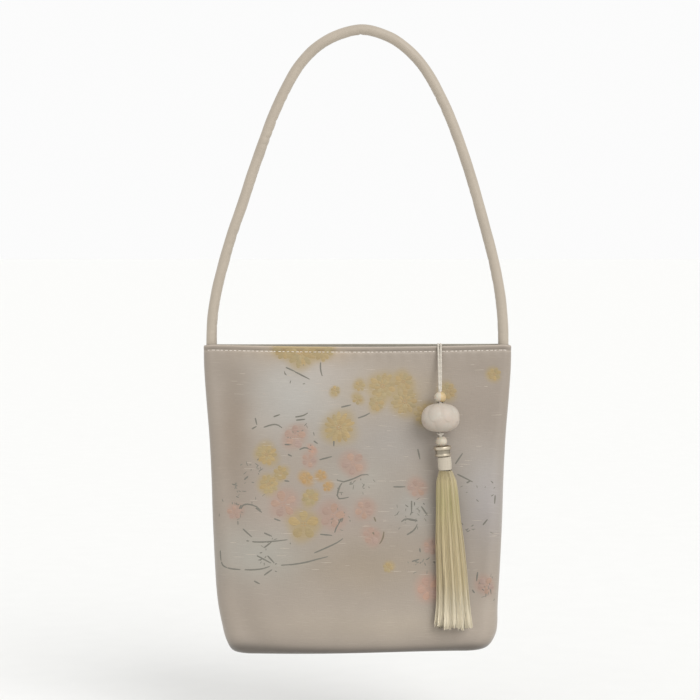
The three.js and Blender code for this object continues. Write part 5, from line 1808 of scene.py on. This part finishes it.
class PURSE_OT_topstitching(bpy.types.Operator):
    """Adds the stitches that hold the hem round the mouth"""

    bl_idname = "purse.topstitching"
    bl_label = "Topstitching"

    def execute(self, context):
        colours = context.scene.purse_colours
        thread = spun_thread("Sewing thread", colours.topstitch, 0.8 * MM, 0.55)
        for panel in (FRONT, BACK):
            topstitching(panel, context.scene.purse_sizes, colours, thread)
        return {"FINISHED"}


class PURSE_OT_handle(bpy.types.Operator):
    """Adds the rolled handle with its seam and creases"""

    bl_idname = "purse.handle"
    bl_label = "Handle"

    def execute(self, context):
        rolled_handle(
            context.scene.purse_sizes, rolled_satin(context.scene.purse_colours.handle))
        return {"FINISHED"}


class PURSE_OT_thread(bpy.types.Operator):
    """Adds the pendant's twisted thread and its knots"""

    bl_idname = "purse.thread"
    bl_label = "Pendant thread"

    def execute(self, context):
        colours = context.scene.purse_colours
        pendant_thread(
            context.scene.purse_sizes, spun_thread("Twisted silk", colours.thread, 1 * MM, 0.5))
        return {"FINISHED"}


class PURSE_OT_beads(bpy.types.Operator):
    """Adds the two small beads and the carved one"""

    bl_idname = "purse.beads"
    bl_label = "Beads"

    def execute(self, context):
        colours = context.scene.purse_colours
        middle = float(pendant_x(BEAD_TOP_DROP)) + 0.6 * MM
        upper = turned_stone(
            "Two-tone stone", colours.ivory, colours.honey, middle + 0.2 * MM, 0.3 * MM)
        # The lower bead's left side, away from the key light, takes the darker colour: painted
        # shade.
        lower = turned_stone("Ivory stone", colours.ivory_painted_shade, colours.ivory, middle, 3 * MM)
        round_bead("bead_top", BEAD_TOP_DIAMETER, BEAD_TOP_DROP, upper)
        round_bead("bead_bottom", BEAD_BOTTOM_DIAMETER, BEAD_BOTTOM_DROP, lower)
        lotus_bead(carved_stone(colours.lotus))
        return {"FINISHED"}


class PURSE_OT_tassel(bpy.types.Operator):
    """Adds the tassel: its collar, neck and skirt of strands"""

    bl_idname = "purse.tassel"
    bl_label = "Tassel"

    def execute(self, context):
        colours = context.scene.purse_colours
        tassel_collar(colours.collar, plated_brass())
        tassel_neck(floss("Drawn floss silk", 0.4), colours.neck)
        tassel_skirt(context.scene.purse_sizes, colours, floss("Loose viscose floss", 0.42))
        return {"FINISHED"}


class PURSE_OT_stage(bpy.types.Operator):
    """Adds the floor, the lights and the camera"""

    bl_idname = "purse.stage"
    bl_label = "Stage"

    def execute(self, context):
        add_stage(context.scene.purse_sizes, context.scene.purse_colours)
        return {"FINISHED"}


STEPS = (
    PURSE_OT_stage, PURSE_OT_panels, PURSE_OT_embroidery, PURSE_OT_topstitching, PURSE_OT_handle,
    PURSE_OT_thread, PURSE_OT_beads, PURSE_OT_tassel,
)


class PURSE_PT_steps(bpy.types.Panel):
    """Lists the purse's pieces, sizes and colours"""

    bl_idname = "PURSE_PT_steps"
    bl_label = "Purse"
    bl_space_type = "VIEW_3D"
    bl_region_type = "UI"
    bl_category = "Purse"

    def draw(self, context):
        column = self.layout.column(align=True)
        for step in STEPS:
            column.operator(step.bl_idname)
        for group in (context.scene.purse_sizes, context.scene.purse_colours):
            for name in group.bl_rna.properties.keys():
                if name not in {"rna_type", "name"}:
                    column.prop(group, name)


CLASSES = (PurseSizes, PurseColours, *STEPS, PURSE_PT_steps)


def register():
    """Registers the classes and puts the purse's settings on the scene."""
    for cls in CLASSES:
        bpy.utils.register_class(cls)
    bpy.types.Scene.purse_sizes = PointerProperty(type=PurseSizes)
    bpy.types.Scene.purse_colours = PointerProperty(type=PurseColours)


def unregister():
    """Takes the settings and the classes away again."""
    del bpy.types.Scene.purse_colours
    del bpy.types.Scene.purse_sizes
    for cls in reversed(CLASSES):
        bpy.utils.unregister_class(cls)


def main():
    """Makes every piece in order."""
    register()
    for step in STEPS:
        area, name = step.bl_idname.split(".")
        getattr(getattr(bpy.ops, area), name)()


if __name__ == "__main__":
    main()
